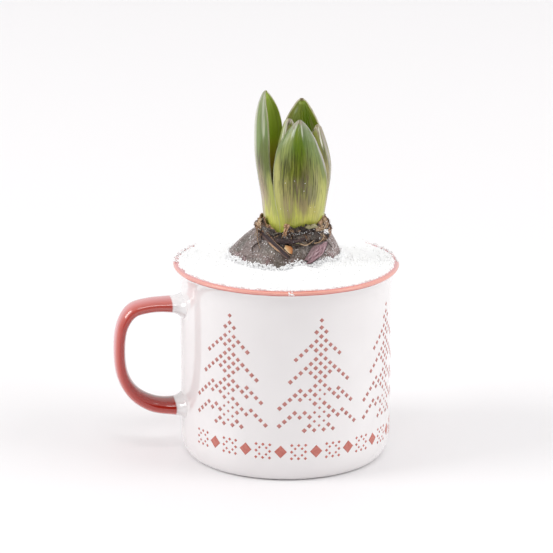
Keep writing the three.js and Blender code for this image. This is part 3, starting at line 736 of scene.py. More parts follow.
def stamp_diamond(mesh, sideways):
    """A large diamond, bent to the wall"""
    before = set(mesh.verts)
    bmesh.ops.create_grid(mesh, x_segments=8, y_segments=8, size=DIAMOND_HALF / math.sqrt(2),
                          matrix=Matrix.Rotation(math.radians(45), 4, "Z"))
    flat = [vert for vert in mesh.verts if vert not in before]
    faces = {face for vert in flat for face in vert.link_faces}
    back = bmesh.ops.extrude_face_region(mesh, geom=list(faces), use_keep_orig=True)["geom"]
    raised = {item for item in back if isinstance(item, bmesh.types.BMVert)}
    for vert in set(flat) | raised:
        out = BODY_RADIUS - PRINT_SUNK + PRINT_DEPTH * (0.5 if vert in raised else -0.5)
        bearing, height = on_print(sideways + vert.co.x * 0.98, BORDER_HEIGHT + vert.co.y * 1.03)
        vert.co = about_mug(bearing, out, height) * MM
    faces = {face for vert in raised | set(flat) for face in vert.link_faces}
    bmesh.ops.recalc_face_normals(mesh, faces=list(faces))


def printed_trees(finish):
    mesh = bmesh.new()
    chance = random.Random(4)
    for tree in range(TREE_COUNT):
        middle = TREE_START + TREE_STEP * tree
        stamp(mesh, middle, TREE_TOP + TOP_DOT * ROW_STEP, TOP_DOT_HALF)
        for row, columns in enumerate(TREE_ROWS):
            for column in {side * column for column in columns for side in (-1, 1)}:
                if (row, column) in LEFT_OUT:
                    continue
                small = (row in SMALL_ROWS and abs(column) <= 1) or (tree, row, column) in SMALL_DOTS
                half = (SMALL_DOT_HALF if small else DOT_HALF) * chance.uniform(0.95, 1.05)
                stamp(mesh, middle + column * COLUMN_STEP, TREE_TOP - row * ROW_STEP, half)
    return piece("printed_trees", mesh, finish, slot="glaze")


def printed_border(finish):
    mesh = bmesh.new()
    for turn in range(FIRST_DIAMOND, LAST_DIAMOND + 1):
        stamp_diamond(mesh, BORDER_START + BORDER_STEP * turn)
    outer = [(x, y, OUTER_DOT_HALF) for x in (-1, 0, 1) for y in (-1, 0, 1) if x or y]
    inner = [(x, y, INNER_DOT_HALF) for x in (-0.5, 0.5) for y in (-0.5, 0.5)]
    for turn in range(FIRST_DIAMOND - 1, LAST_DIAMOND + 1):
        middle = BORDER_START + BORDER_STEP * (turn + 0.5)
        for x, y, half in outer + inner:
            stamp(mesh, middle + SQUARE_STEP * x, BORDER_HEIGHT + SQUARE_STEP * y, half)
    return piece("printed_border", mesh, finish, slot="glaze")


# Bulb: height, radius and sideways place of its outline, which leans to the right at the neck
bulb_outline = through([
    (BULB_FOOT, 8.5, BULB_X), (46, 12.6, BULB_X), (49, 17.4, BULB_X), (53, 21.3, BULB_X), (58, 24.6, BULB_X),
    (64, 26.7, BULB_X), (70, 26.9, BULB_X), (76, 25.4, BULB_X), (81.4, 22.6, BULB_X + 0.1), (84.5, 20.9, 0),
    (86.5, 19.4, 0.5), (88, 18.2, 0.9), (89.6, 16.8, 1.4), (91.1, 15.2, 1.9), (NECK_TOP, 13.6, SHOOT_X),
])

# From this height up the rows of the bulb's skin lie close together, for its wrinkles
CLOSE_ROWS_FROM = 76


def on_bulb(height, bearing, lift=0.0):
    """A point of the plant above the bulb's smooth outline, along its normal"""
    slope = math.atan(bulb_outline(height - 0.5)[0] - bulb_outline(height + 0.5)[0])
    radius, middle = bulb_outline(height)
    out = heading(bearing) * (radius + lift * math.cos(slope))
    return Vector((middle + out.x, out.y, height + lift * math.sin(slope)))


def wrinkle(bearing, height):
    """How far the skin lies below the smooth outline. It is smooth at the seam behind."""
    fade = smoothstep(height, CLOSE_ROWS_FROM + 2, 84) * smoothstep(180 - abs(bearing), 0, 4)
    rib = 0.5 + 0.5 * math.sin(math.radians(bearing) * 21 + 2.5 * roughly(bearing / 25, height / 9))
    fold = 0.5 + 0.5 * roughly(bearing / 4.2, height / 14, 3)
    crease = abs(roughly(bearing / 9 + height / 30, height / 11, 8))
    return fade * (0.14 * rib + 0.18 * fold + 0.3 * (1 - smoothstep(crease, 0, 0.18)))


def bulb(finish):
    """The bulb, with a cup in its neck for the feet of the leaves"""
    skin = [BULB_FOOT, 45.2, 46, 47.4, 49, 51, 53, 55.5, 58, 61, 64, 67, 70, 73, CLOSE_ROWS_FROM]
    skin += [lerp(CLOSE_ROWS_FROM, NECK_TOP, (i + 1) / 60) for i in range(60)]
    cup = [(1, NECK_TOP + 0.1), (1, 90), (1, SHOOT_FOOT + 0.6), (0.95, SHOOT_FOOT), (0, SHOOT_FOOT)]

    def place(across, along):
        row = round(along * (len(skin) + len(cup)))
        bearing = across * 360 - 180
        if row == 0:
            return on_plant(BULB_X, 0, BULB_FOOT)
        if row <= len(skin):
            height = skin[row - 1]
            return on_plant(*on_bulb(height, bearing, -wrinkle(bearing, height)))
        share, height = cup[row - 1 - len(skin)]
        return about_shoot(bearing, (SHOOT_RADIUS + 0.4) * share, height)
    mesh = sheet(240, len(skin) + len(cup), place, joined=True)
    bmesh.ops.dissolve_degenerate(mesh, edges=mesh.edges[:], dist=1e-7)
    bmesh.ops.recalc_face_normals(mesh, faces=mesh.faces[:])
    return piece("bulb_skin", mesh, finish, replaces=["bulb"], slot="tunic")


# Dressing: level with the lip in front, mounded at the bulb, and spread over the back of the lip. A row
# gives a radius and a height, from below the lip up and in to the bulb.
DRESSING_FRONT = [
    (38.4, SOIL_TOP + GAP), (39.4, 74.8), (40, 76), (40.5, 77), (40.5, 77.4), (40.3, 77.8), (39.8, 78.1),
    (38.6, 78.4), (36, 78.8), (32, 79.4), (28, 80.3), (24.5, 81.5), (21, 83),
]
DRESSING_BACK = [
    (38.4, SOIL_TOP + GAP), (39.6, 75.4), (40.5, 77), (42, 78.5), (44.4, 78.9), (44.6, 79.4), (43.8, 79.9),
    (41.5, 80.3), (38, 80.5), (33.5, 80.7), (29, 81), (25, 81.6), (21, 82.6),
]
LAST_ROW = len(DRESSING_FRONT) - 1

# The row at which the top begins, the height of the mound at the bulb, and its number of loose crystals
TOP_START = 5
MOUND_TOP = 83.3
TOP_CRYSTALS = 5200

# Bearings from which the lip is covered, and how far the granules lap over it in front
COVERED_LEFT, COVERED_RIGHT = (126, 142), (116, 130)
LAP, LAP_RISE = 2.5, 0.65

# Share of the way at which the dressing turns down along the bulb
TURN_DOWN = 0.93

# Height of the granules' upper edge on the bulb, by bearing about the bulb
granule_line = through([
    (-180, 82.3), (-120, 81.4), (-90, 81.5), (-70, 81.9), (-55, 82.2), (-39, 82.1), (-24, 81.8), (-12, 81.5),
    (0, 81.9), (9, 83.3), (16, 83.5), (24, 82.5), (33, 82.4), (43, 83.3), (55, 82.4), (74, 82.3), (95, 81.8),
    (130, 82.2), (180, 82.3),
])


def dressing_spot(bearing, share):
    """Radius and height at a share of the way from the lip's inner edge to the bulb. The dressing laps
    raggedly over the lip in front, and covers it behind."""
    ragged = roughly(bearing / 7, 0, 5) * 5 + roughly(bearing / 2.2, 0, 6) * 4
    behind = smoothstep(ragged + abs(bearing), *(COVERED_RIGHT if bearing > 0 else COVERED_LEFT))
    place = clamp(share) * LAST_ROW
    i = min(int(place), LAST_ROW - 1)
    front, back = ([lerp(rows[i][k], rows[i + 1][k], place - i) for k in (0, 1)]
                   for rows in (DRESSING_FRONT, DRESSING_BACK))
    side = 0.55 + 0.45 * math.sin(math.radians(bearing) - PLANT_TURN) ** 2
    lap = bump(place, TOP_START, 2.6) * side
    front = (front[0] + (LAP + 0.2 * ragged) * lap, front[1] + LAP_RISE * lap)
    radius, height = (lerp(a, b, behind) for a, b in zip(front, back))
    about_bulb = (bearing - math.degrees(PLANT_TURN) + 180) % 360 - 180
    height += smoothstep(share, 0.82, 1) * (granule_line(about_bulb)[0] - MOUND_TOP)
    if share > TOP_START / LAST_ROW:
        out = heading(bearing) * radius
        height += 0.22 * roughly(out.x / 3, out.y / 3, 1) + 0.18 * roughly(out.x / 1.1, out.y / 1.1, 2)
    return radius, height


def bulb_reach(bearing, height):
    """How far the bulb's skin reaches from the mug's axis"""
    radius, middle = bulb_outline(height)
    return radius + middle * math.sin(math.radians(bearing - math.degrees(PLANT_TURN)))


def dressing_base(finish):
    """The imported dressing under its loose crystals, closed below"""
    def place(across, along):
        bearing = across * 360 - 180
        if along <= TURN_DOWN:
            return about_mug(bearing, *dressing_spot(bearing, along / TURN_DOWN))
        top = dressing_spot(bearing, 1)[1]
        height = lerp(top, SOIL_TOP + GAP, (along - TURN_DOWN) / (1 - TURN_DOWN))
        return about_mug(bearing, bulb_reach(bearing, height) + 0.1, height)
    mesh = sheet(300, 60, place, joined=True)
    bmesh.ops.bridge_loops(mesh, edges=[edge for edge in mesh.edges if edge.is_boundary])
    bmesh.ops.recalc_face_normals(mesh, faces=mesh.faces[:])
    return piece("dressing_base", mesh, finish, replaces=["dressing"], slot="granules")


def granule(mesh, spot, size, chance):
    """One crystal of the dressing"""
    angle = chance.uniform(0, 6.28)
    axis = Vector((chance.random(), chance.random(), 0.3)).normalized()
    turn = Matrix.Rotation(angle, 4, axis)
    stretch = Matrix.Diagonal((size, size * chance.uniform(0.7, 1), size * chance.uniform(0.6, 0.9), 1 / MM))
    place = Matrix.Translation(spot * MM) @ turn @ (stretch * MM)
    place[3][3] = 1
    bmesh.ops.create_icosphere(mesh, subdivisions=1, radius=1, matrix=place)


def scattered(name, spots, sizes, finish, seed, batch_size=200):
    """Many crystals, made in small batches and then joined, because that is quicker"""
    chance = random.Random(seed)
    whole = bmesh.new()
    for start in range(0, len(spots), batch_size):
        batch = bmesh.new()
        for spot in spots[start:start + batch_size]:
            granule(batch, spot, chance.uniform(*sizes), chance)
        add_to(whole, batch)
    return piece(name, whole, finish, slot="granules")


def dressing_granules(finish):
    """Loose crystals all over the top of the dressing, fewer towards the bulb"""
    chance = random.Random(12)
    spots = []
    while len(spots) < TOP_CRYSTALS:
        bearing = chance.uniform(-180, 180)
        radius, height = dressing_spot(bearing, chance.uniform(0.33, 1))
        if chance.random() > radius / RIM_RADIUS:
            continue
        spot = about_mug(bearing, radius, height + chance.uniform(-0.36, 0.04))
        spot.z -= 0.22 * smoothstep(spot.y, -14, 8)
        spots.append(spot)
    return scattered("dressing_granules", spots, (0.35, 0.7), finish, 3)


def edge_granules(finish):
    """Crystals heaped against the bulb and spilt on the lip and the collar"""
    chance = random.Random(31)
    uniform, gauss = chance.uniform, chance.gauss
    spots = []

    # Along the edge on the bulb, then just below it
    for _ in range(1100):
        bearing = uniform(-180, 180)
        height = granule_line(bearing)[0] - 0.1 + gauss(0, 0.28) + 0.45 * roughly(bearing / 5, 0, 9)
        spots.append(on_plant(*on_bulb(height, bearing, uniform(0, 0.4))))
    for _ in range(1000):
        bearing = uniform(-180, 180)
        height = granule_line(bearing)[0] - uniform(0.3, 1.5)
        spots.append(on_plant(*on_bulb(height, bearing, uniform(0.2, 0.9))))

    # Small heaps that stand above the edge
    for _ in range(90):
        bearing = uniform(-180, 180)
        top = granule_line(bearing)[0] + uniform(-0.1, 0.6)
        for _ in range(8):
            heaped = on_bulb(top + gauss(0, 0.3), bearing + gauss(0, 1.3), uniform(0.1, 0.7))
            spots.append(on_plant(*heaped))

    # Over the back of the lip, over its sides, at its inner edge, and one clump in front
    for _ in range(170):
        spots.append(about_mug(uniform(95, 265), uniform(43.2, 44.8), RIM_HEIGHT + 0.15))
    for _ in range(330):
        bearing = chance.choice((-uniform(96, 138), uniform(80, 128)))
        spots.append(about_mug(bearing, uniform(41.6, 44.7), RIM_HEIGHT - uniform(0.1, 0.4)))
    for _ in range(130):
        bearing = chance.choice((-1, 1)) * uniform(50, 105)
        spots.append(about_mug(bearing, 40.9 + abs(gauss(0, 0.7)), RIM_HEIGHT - 0.35))
    for _ in range(24):
        spots.append(about_mug(gauss(0, 0.7) - 7.6, 44.8 + gauss(0, 0.2), RIM_HEIGHT - 1 + gauss(0, 0.3)))

    # A clump on the right of the collar
    for _ in range(56):
        spots.append(about_shoot(gauss(57, 3.4), 15.5 + uniform(0, 0.5), gauss(92.2, 0.6)))
    return scattered("edge_granules", spots, (0.2, 0.46), finish, 5)


def fine_granules(finish):
    """Dust of the same crystals on the collar, the bulb's shoulders and the front leaf"""
    chance = random.Random(77)
    uniform = chance.uniform
    spots = []
    for _ in range(160):
        spots.append(on_plant(*collar_spot(uniform(-100, 110), uniform(0.05, 0.85), uniform(0.8, 1.3))))
    for _ in range(420):
        height = 83 + 8 * chance.random() ** 1.6
        spots.append(on_plant(*on_bulb(height, uniform(-180, 180), 0.05)))
    section = through(LEAVES["leaf_front"][1])
    for _ in range(10):
        height = uniform(97, 120)
        x, y, radius, keel, wrap = section(height)
        out = heading(keel + wrap * uniform(-0.9, 0.9)) * radius
        spots.append(on_plant(x + out.x, y + out.y, height))
    return scattered("fine_granules", spots, (0.08, 0.2), finish, 6)


# Collar of dried old scales round the feet of the leaves, torn at the top and lying on the bulb below
collar_top = through([
    (-180, 96.6), (-150, 97.4), (-120, 96.4), (-95, 96.9), (-77, 95.2), (-66, 97.6), (-58, 97.6), (-52, 95.4),
    (-43, 95), (-34, 94.4), (-27, 92.8), (-20, 91.4), (-14, 94), (-8, 95.9), (2, 95), (10, 95.7), (23, 95.8),
    (32, 96.4), (42, 95.4), (52, 96.2), (60, 97.4), (67, 98), (76, 97.2), (95, 96.4), (120, 97.3),
    (150, 96.5), (180, 96.6),
])
collar_low = through([
    (-180, 91.6), (-120, 91.9), (-89, 92.7), (-62, 92.5), (-45, 92), (-33, 91), (-21, 90), (-11, 89.3),
    (4, 88.9), (22, 89.1), (38, 89.2), (51, 89.3), (80, 90.4), (110, 91.3), (180, 91.6),
])


# Share of the collar's height that lies on the bulb, and the height at which it leaves the bulb
COLLAR_BEND = 0.45
COLLAR_LEAVES = NECK_TOP - 0.2

# The collar's usual radius and height, by which the shreds on it are placed
COLLAR_RADIUS = 14.3
COLLAR_HEIGHT = 6.5


def collar_spot(bearing, share, out=0.0):
    """A point of the collar at a share of the way from its hem to its torn top"""
    bare = bump(bearing, -86, 29)
    if share < COLLAR_BEND:
        t = share / COLLAR_BEND
        height = lerp(collar_low(bearing)[0], COLLAR_LEAVES, t)
        return on_bulb(height, bearing, 0.7 + 0.5 * math.sin(t * math.pi) - 0.3 * bare + out)
    t = (share - COLLAR_BEND) / (1 - COLLAR_BEND)
    start = on_bulb(COLLAR_LEAVES, bearing, 0.7 - 0.3 * bare + out)
    radius = lerp(14.2 - 0.9 * bare, 13.3 - 0.6 * bare, t * t) + out
    away = heading(bearing) * radius
    end = Vector((SHOOT_X + away.x, away.y, lerp(start.z, collar_top(bearing)[0], t)))
    return start.lerp(end, smoothstep(t, 0, 0.35))


def collar(finish):
    """The torn ring, crumpled all over and most of all in front"""
    def place(across, along):
        bearing = across * 360 - 180
        front = smoothstep(bearing, -30, -5) * (1 - smoothstep(bearing, 48, 62))
        side, fore = heading(bearing)[:2]
        rough = roughly(side * 9, fore * 9, along * 4)
        fine = roughly(side * 26, fore * 26, along * 9, 2)
        crease = abs(roughly(side * 14, fore * 14, along * 3, 5))
        out = (0.35 + 0.25 * front) * rough + 0.22 * fine + 0.3 * smoothstep(crease, 0, 0.2) - 0.25
        torn = 0.5 * roughly(side * 22, fore * 22, 0, 3) + 0.3 * roughly(side * 50, fore * 50, 0, 4)
        spot = collar_spot(bearing, along, 0 if abs(bearing) == 180 else out)
        return on_plant(spot.x, spot.y, spot.z + torn * along)
    mesh = sheet(360, 30, place, joined=True)
    face_outwards(mesh)
    made = piece("collar_ring", mesh, finish, replaces=["neck_collar"], slot="dry_scale")
    return thicken(made, 0.55)


# Loose scales: bearings along them are counted as arcs at one radius from the shoot
ARC_RADIUS = 14


def strip(name, left, right, finish, bow=0.4, hollow=0.0, crumple=0.15, ragged=0.25, thickness=0.3,
          seed=1.0, columns=10, rows=24, replaces=(), slot="dry_scale"):
    """A thin torn strip between two edge lines, each from top to bottom. A corner is a bearing about
    the shoot, a radius from it and a height. The strip bows outwards, and is hollow in its middle."""
    left, right = (smooth_path([(math.radians(bearing) * ARC_RADIUS, radius, height)
                                for bearing, radius, height in edge]) for edge in (left, right))

    def place(across, along):
        end = clamp(along + (along - 0.5) * ragged * roughly(across * 6, seed, 0, seed))
        flat = left(end).lerp(right(end), across)
        side = math.sin(across * math.pi)
        radius = flat.y + bow * side - hollow * side * side
        radius += crumple * roughly(across * 3, along * 5, seed)
        radius += crumple / 2 * roughly(across * 8, along * 14, seed)
        shift = 0.5 * roughly(along * 6, seed, 3) * (across - 0.5)
        return about_shoot(math.degrees((flat.x + shift) / ARC_RADIUS), radius, flat.z)
    mesh = sheet(columns, rows, place)
    face_outwards(mesh)
    return thicken(piece(name, mesh, finish, replaces=replaces, slot=slot), thickness)


def shreds(name, count, reaches, sizes, finish, seed):
    """Small torn bits of old scale, crumpled and pressed against the collar. Each reach gives a first
    and a last bearing and the share of the collar's height that the bits cover."""
    chance = random.Random(seed)
    whole = bmesh.new()
    for number in range(count):
        first, last, cover = chance.choice(reaches)
        middle = chance.uniform(first, last)
        level = chance.uniform(0.12, 0.92) * cover + (1 - cover) * 0.5
        wide, tall = chance.uniform(*sizes), chance.uniform(*sizes)
        turn = Matrix.Rotation(chance.uniform(-1.2, 1.2), 2)
        curl = chance.uniform(0, 0.7)
        lift = chance.uniform(0.2, 0.6)

        def place(across, along):
            ragged = 1 + 0.5 * roughly(across * 4, along * 4, number)
            flat = Vector(((across - 0.5) * wide * (1 - 0.5 * along), (along - 0.5) * tall)) * ragged
            sideways, upward = turn @ flat
            out = lift + curl * 2 * (along - 0.5) ** 2 + 0.35 * roughly(across * 3, along * 3, number, 2)
            bearing = middle + math.degrees(sideways / COLLAR_RADIUS)
            return on_plant(*collar_spot(bearing, level + upward / COLLAR_HEIGHT, out))
        bit = sheet(6, 7, place)
        face_outwards(bit)
        add_to(whole, bit)
    return thicken(piece(name, whole, finish, slot="dry_scale"), 0.25)


def thread(name, points, radius, finish):
    """A dry fibre that tapers, through points given as bearing about the shoot, radius and height"""
    route = smooth_path([about_shoot(*point) for point in points])

    def place(across, along):
        way = (route(min(along + 0.01, 1)) - route(max(along - 0.01, 0))).normalized()
        side = way.orthogonal().normalized()
        if side.z < 0:
            side = -side
        angle = 2 * math.pi * across
        size = radius * (1.05 - 0.6 * along)
        return route(along) + size * (side * math.cos(angle) + way.cross(side) * math.sin(angle))
    mesh = sheet(6, 20, place, joined=True)
    close_ends(mesh)
    return piece(name, mesh, finish, slot="dry_scale")


def on_skin(bearing, height, lift):
    """A spot over the bulb's skin, at a bearing about the bulb's own axis, as bearing about the shoot,
    radius from it and height"""
    radius, middle = bulb_outline(height)
    lean = middle - BULB_X
    angle = math.radians(bearing)
    reach = lean * math.sin(angle) + math.sqrt(radius ** 2 - (lean * math.cos(angle)) ** 2)
    out = heading(bearing) * reach
    spot = on_bulb(height, math.degrees(math.atan2(BULB_X + out.x - middle, -out.y)), lift)
    across, fore = spot.x - SHOOT_X, -spot.y
    return (math.degrees(math.atan2(across, fore)), math.hypot(across, fore), spot.z)


def over_skin(*spots):
    """A line over the bulb's skin, through bearings, heights and lifts"""
    return [on_skin(*spot) for spot in spots]


# Leaves: each has its thickness and its rows. A row gives height, centre x and y, radius, bearing of
# the keel and half of the wrap.
EDGE_THICKNESS = 0.6


def leaf_foot(radius, keel, wrap):
    """The lowest rows of a leaf, which stands upright in the bulb's neck"""
    return [(height, SHOOT_X, 0, radius, keel, wrap) for height in (SHOOT_FOOT + GAP, NECK_TOP)]


LEAVES = {
    "leaf_front": (2.4, [
        *leaf_foot(SHOOT_RADIUS, 22, 47), (98, 3, -0.3, 12.5, 18, 47), (104.5, 4.6, -1, 13.3, 5, 48),
        (110.4, 5, -1.5, 13.8, 2, 50), (116.4, 5, -1.6, 13.6, 1, 51), (121.6, 4.8, -2, 12.2, 0, 53),
        (126.7, 4.4, -3, 10, 0, 55), (130.3, 4.6, -4.2, 7.7, 0, 57), (133.4, 4.7, -5.4, 5.1, 0, 60),
        (135.8, 4.9, -6.6, 2.7, 0, 64), (136.8, 4.9, -7.2, 1.6, 0, 62), (137.4, 4.9, -7.5, 0.8, 0, 60),
    ]),
    "leaf_left": (2.2, [
        *leaf_foot(SHOOT_RADIUS - 0.8, -89, 66),
        (98, 2.1, 0.1, 11.5, -90, 66), (105, 0.5, 0.3, 10.6, -93, 68), (113, -1.9, 0.4, 9.6, -98, 74),
        (122, -3.7, 0.5, 9.1, -104, 84), (130, -3.9, 0.6, 9.1, -107, 87), (137, -4.7, 0.6, 7.9, -107, 86),
        (142, -5.8, 0.5, 5.7, -107, 82), (145.4, -7, 0.3, 3.1, -107, 76),
        (146.6, -7.6, 0.2, 1.9, -107, 70), (147.3, -8, 0.2, 0.9, -107, 66),
    ]),
    "leaf_back": (2.2, [
        *leaf_foot(SHOOT_RADIUS, 181, 27), (98, 2.8, 0.3, 12.5, 181, 29), (105, 4, 0.8, 13.2, 180, 34),
        (113, 5.4, 1.6, 13.2, 180, 38), (122, 6, 2.4, 12.2, 180, 42), (129, 6, 3.2, 11.2, 180, 44),
        (134, 5.8, 4.8, 8.9, 180, 44), (138.6, 5.8, 8, 5.2, 180, 44), (141, 5.8, 10, 2.7, 180, 44),
        (142, 5.8, 10.9, 1.2, 180, 44),
    ]),
    "leaf_right": (2.0, [
        *leaf_foot(SHOOT_RADIUS, 112, 36), (98, 2.9, 0, 12.3, 107, 39), (105, 5.1, 0, 11.2, 99, 50),
        (113, 7.5, -0.1, 10, 93, 60), (118, 8.7, -0.2, 8.9, 88, 66), (124, 9.3, -0.5, 7.3, 82, 72),
        (129, 9.7, -0.8, 5.4, 78, 78), (132.2, 10.2, -1, 3.8, 74, 78), (133.5, 10.8, -1.1, 2.6, 72, 74),
        (134.1, 11.1, -1.1, 1.5, 70, 70),
    ]),
    "leaf_inner": (1.6, [
        (SHOOT_FOOT + GAP, SHOOT_X, 0, 9, -42, 46), (98, SHOOT_X, 0, 9, -42, 46), (105, 2.2, -1, 9, -46, 48),
        (113, 2.3, -1.8, 8.4, -50, 52), (118, 2.4, -2.4, 7.8, -52, 56), (124.5, 2.4, -2.8, 6.6, -54, 62),
        (130.5, 2, -3, 4.8, -55, 68), (134.3, 1.8, -3.2, 3.5, -55, 74), (136.3, 1.7, -3.3, 2.5, -55, 72),
        (137, 1.7, -3.4, 1.5, -55, 66),
    ]),
}


def leaf(name, outer, inner, margin, seed):
    """A channelled leaf with a keel and fine veins, thin at its edges. It has a finish for its outer
    face, its inner face and its margin."""
    thickness, rows = LEAVES[name]
    section = through(rows)
    foot, tip = rows[0][0], rows[-1][0]

    def height_at(along):
        return lerp(foot, tip, math.sin(along * math.pi / 2))

    def place(across, along):
        height = height_at(along)
        x, y, radius, keel, wrap = section(height)
        s = 2 * across - 1
        vein = 0.025 * math.cos(s * 46) + 0.08 * roughly(s * 7, along * 3, seed)
        ridge = 0.22 * bump(s, 0, 0.06) * smoothstep(along, 0.3, 0.8)
        size = min(1, radius / 3)
        out = heading(keel + s * wrap) * (radius + (vein + ridge - 0.12) * size)
        return on_plant(x + out.x, y + out.y, height)
    mesh = sheet(56, 90, place)

    def middle(height):
        x, y = section(clamp(height / MM, foot, tip))[:2]
        return on_plant(x, y, height / MM) * MM
    face_outwards(mesh, middle)
    slot = "leaf_shaded" if name in ("leaf_back", "leaf_inner") else "leaf"
    made = piece(name + "_blade", mesh, outer, inner, margin, replaces=[name], slot=slot)

    def share(across, along):
        s = 2 * across - 1
        full = min(thickness, section(height_at(along))[2] * 0.62)
        return clamp(lerp(min(EDGE_THICKNESS, full), full, 1 - s * s) / thickness)
    return thicken(made, thickness, share, inner=1, rim=2)


# Flower bud: a stem with a spike of packed pointed buds, low among the leaves
BUD_X, BUD_Y = 3.4, 1.4
BUD_COUNT = 34
GOLDEN_TURN = 180 * (3 - math.sqrt(5))
STEM = [
    (0, SHOOT_FOOT + GAP), (3.6, SHOOT_FOOT + GAP), (3.4, 96), (4.2, 101), (4.4, 108), (3.4, 116),
    (1.4, 120.6), (0, 121.6),
]


def floret(mesh, centre, bearing, tilt, size):
    """One pointed bud with three ribs"""
    layer = mesh.loops.layers.uv.verify()
    made = bmesh.ops.create_uvsphere(mesh, u_segments=12, v_segments=10, radius=1)["verts"]
    place = Matrix.Rotation(math.radians(bearing), 4, "Z") @ Matrix.Rotation(tilt, 4, "X")
    for vert in made:
        along = (vert.co.z + 1) / 2
        angle = math.atan2(vert.co.y, vert.co.x)
        girth = size * (1 + 0.12 * math.cos(3 * angle)) * (1 - 0.35 * along ** 2)
        for corner in vert.link_loops:
            corner[layer].uv = (angle / (2 * math.pi), along)
        shaped = Vector((vert.co.x * girth, vert.co.y * girth, vert.co.z * size * 1.8))
        vert.co = on_plant(*(centre + place @ shaped)) * MM


def flower_bud(finish):
    def place(across, along):
        radius, height = STEM[round(along * (len(STEM) - 1))]
        out = heading(across * 360) * radius
        return on_plant(BUD_X + out.x, BUD_Y + out.y, height)
    mesh = sheet(24, len(STEM) - 1, place, joined=True)
    bmesh.ops.recalc_face_normals(mesh, faces=mesh.faces[:])
    for i in range(BUD_COUNT):
        rise = (i + 0.5) / BUD_COUNT
        out = heading(i * GOLDEN_TURN) * (4.1 * math.sqrt(1 - rise ** 3) + 0.3)
        centre = Vector((BUD_X + out.x, BUD_Y + out.y, 98 + rise * 22))
        floret(mesh, centre, i * GOLDEN_TURN, 0.55 - 0.3 * rise, 1.75 - 0.6 * rise)
    return piece("flower_spike", mesh, finish, replaces=["flower_bud"], slot="bud")


# Build the pot
glaze = mug_glaze()
snow = granule_white()
mug_body(glaze)
mug_handle(glaze)
printed_trees(print_red("printed dull red", (184, 116, 108), (200, 138, 130)))
printed_border(print_red("printed red", (190, 104, 92), (206, 126, 114)))
dressing_base(snow)
dressing_granules(snow)
edge_granules(snow)
fine_granules(snow)

# Build the bulb, its collar and the loose scales
skin = bulb_skin()
bulb(skin)
collar(collar_mix())
tan_paper = dried_scale("tan dried scale", (108, 80, 60), (182, 150, 118), (228, 208, 178), 0.3)
pale_paper = dried_scale("pale paper", (116, 100, 68), (160, 152, 112), (206, 202, 168), 5.5)
orange_paper = dried_scale("orange dried scale", (150, 106, 76), (206, 164, 126), (238, 216, 190), 2.6)
brown_paper = dried_scale("brown dried scale", (40, 26, 20), (92, 64, 48), (150, 118, 90), 2.1)
grey_paper = dried_scale("grey dried scale", (50, 44, 42), (96, 88, 82), (150, 138, 126), 0.9)
# The dark scale's palest tone stands partly for painted highlights on it
dark_paper = dried_scale("dark dried scale", (22, 16, 16), (58, 46, 44), (136, 120, 108), 1.2)
maroon_paper = dried_scale("maroon dried scale", (20, 12, 14), (50, 32, 36), (108, 84, 80), 1.7, 0.35)

strip("flap_strip", over_skin((-50, 91.6, 0.75), (-30, 90.2, 0.75), (-12, 87.8, 0.75), (3, 84.5, 0.75)),
      over_skin((-43, 92.4, 0.9), (-23, 91.1, 0.9), (-5, 88.5, 0.9), (6, 85.6, 0.9)), flap_mix(),
      bow=0, hollow=0.45, crumple=0.12, ragged=0.1, thickness=0.35, seed=2.2, rows=40,
      replaces=["tunic_flap"])
strip("flake_strip", over_skin((-4, 89.6, 0.8), (0, 87.8, 0.9), (5, 86.3, 1.2)),
      over_skin((8.4, 88.7, 0.8), (9.2, 87.6, 1), (7.6, 86, 1.4)), flake_mix(),
      bow=0.2, seed=3.1, replaces=["tunic_flake"], slot="tan_scale")
strip("scale_strip", over_skin((42, 89, 0.8), (32, 87.7, 0.9), (25, 85.6, 1), (17, 83, 1)),
      over_skin((59, 88.8, 0.8), (53, 86.8, 1), (40, 84.3, 1.1), (27, 82.7, 1)), scale_purple(),
      bow=0.3, crumple=0.5, ragged=0.4, seed=4.5, columns=24, rows=40,
      replaces=["tunic_scale"], slot="purple_scale")
strip("tan_tall_scale", [(-13, 15.8, 96.2), (-11.5, 14.8, 97.2), (-13, 15.2, 95), (-14.5, 15.8, 92.8),
                         (-19, 16.4, 90.2)],
      [(-7, 16, 96.4), (-3.5, 14.8, 97), (-7, 15.3, 95), (-9.5, 16, 93), (-8, 16.6, 90.8)], orange_paper,
      bow=0.3, crumple=0.9, ragged=1.1, seed=5.2, columns=16, rows=40)
strip("grey_scale_left", [(-60, 14, 95.2), (-56, 14.6, 93.8), (-47, 15.2, 92.2)],
      [(-30, 14.2, 94.6), (-29, 14.7, 93), (-28, 15.3, 91.3)], grey_paper,
      bow=0.3, crumple=0.5, seed=6.4, columns=20)
strip("tan_stack_left", [(-86, 13.6, 96), (-84, 13.9, 94.8), (-80, 14.2, 93.4)],
      [(-58, 13.9, 97.6), (-59, 14.3, 95.6), (-56, 14.7, 93.8)], tan_paper,
      bow=0.3, crumple=1.1, ragged=0.8, seed=7.7, columns=24)
strip("pale_scale", [(22, 14, 96.4), (21, 14.3, 95.7), (20, 14.5, 95.1)],
      [(38, 14.1, 96.9), (41, 14.5, 95.8), (43, 14.7, 95.1)], pale_paper,
      crumple=0.3, ragged=0.8, seed=8.9, rows=16, slot="tan_scale")
for number, bearing in enumerate((42, 47, 53, 58, 63, 68, 72, 77)):
    rise = 95.3 + 2.8 * bump(bearing, 68, 8) + 0.5 * roughly(number * 1.7, 2)
    strip("tan_fringe_%d" % number,
          [(bearing - 2.5, 13.9, rise), (bearing - 3.2, 14.5, 95), (bearing - 4, 14.8, 93.8)],
          [(bearing + 1.2, 13.9, rise - 0.5), (bearing + 2, 14.5, 94.8), (bearing + 2.4, 14.8, 93.4)],
          tan_paper, bow=0.15, crumple=0.35, seed=10 + number, columns=5, rows=12)

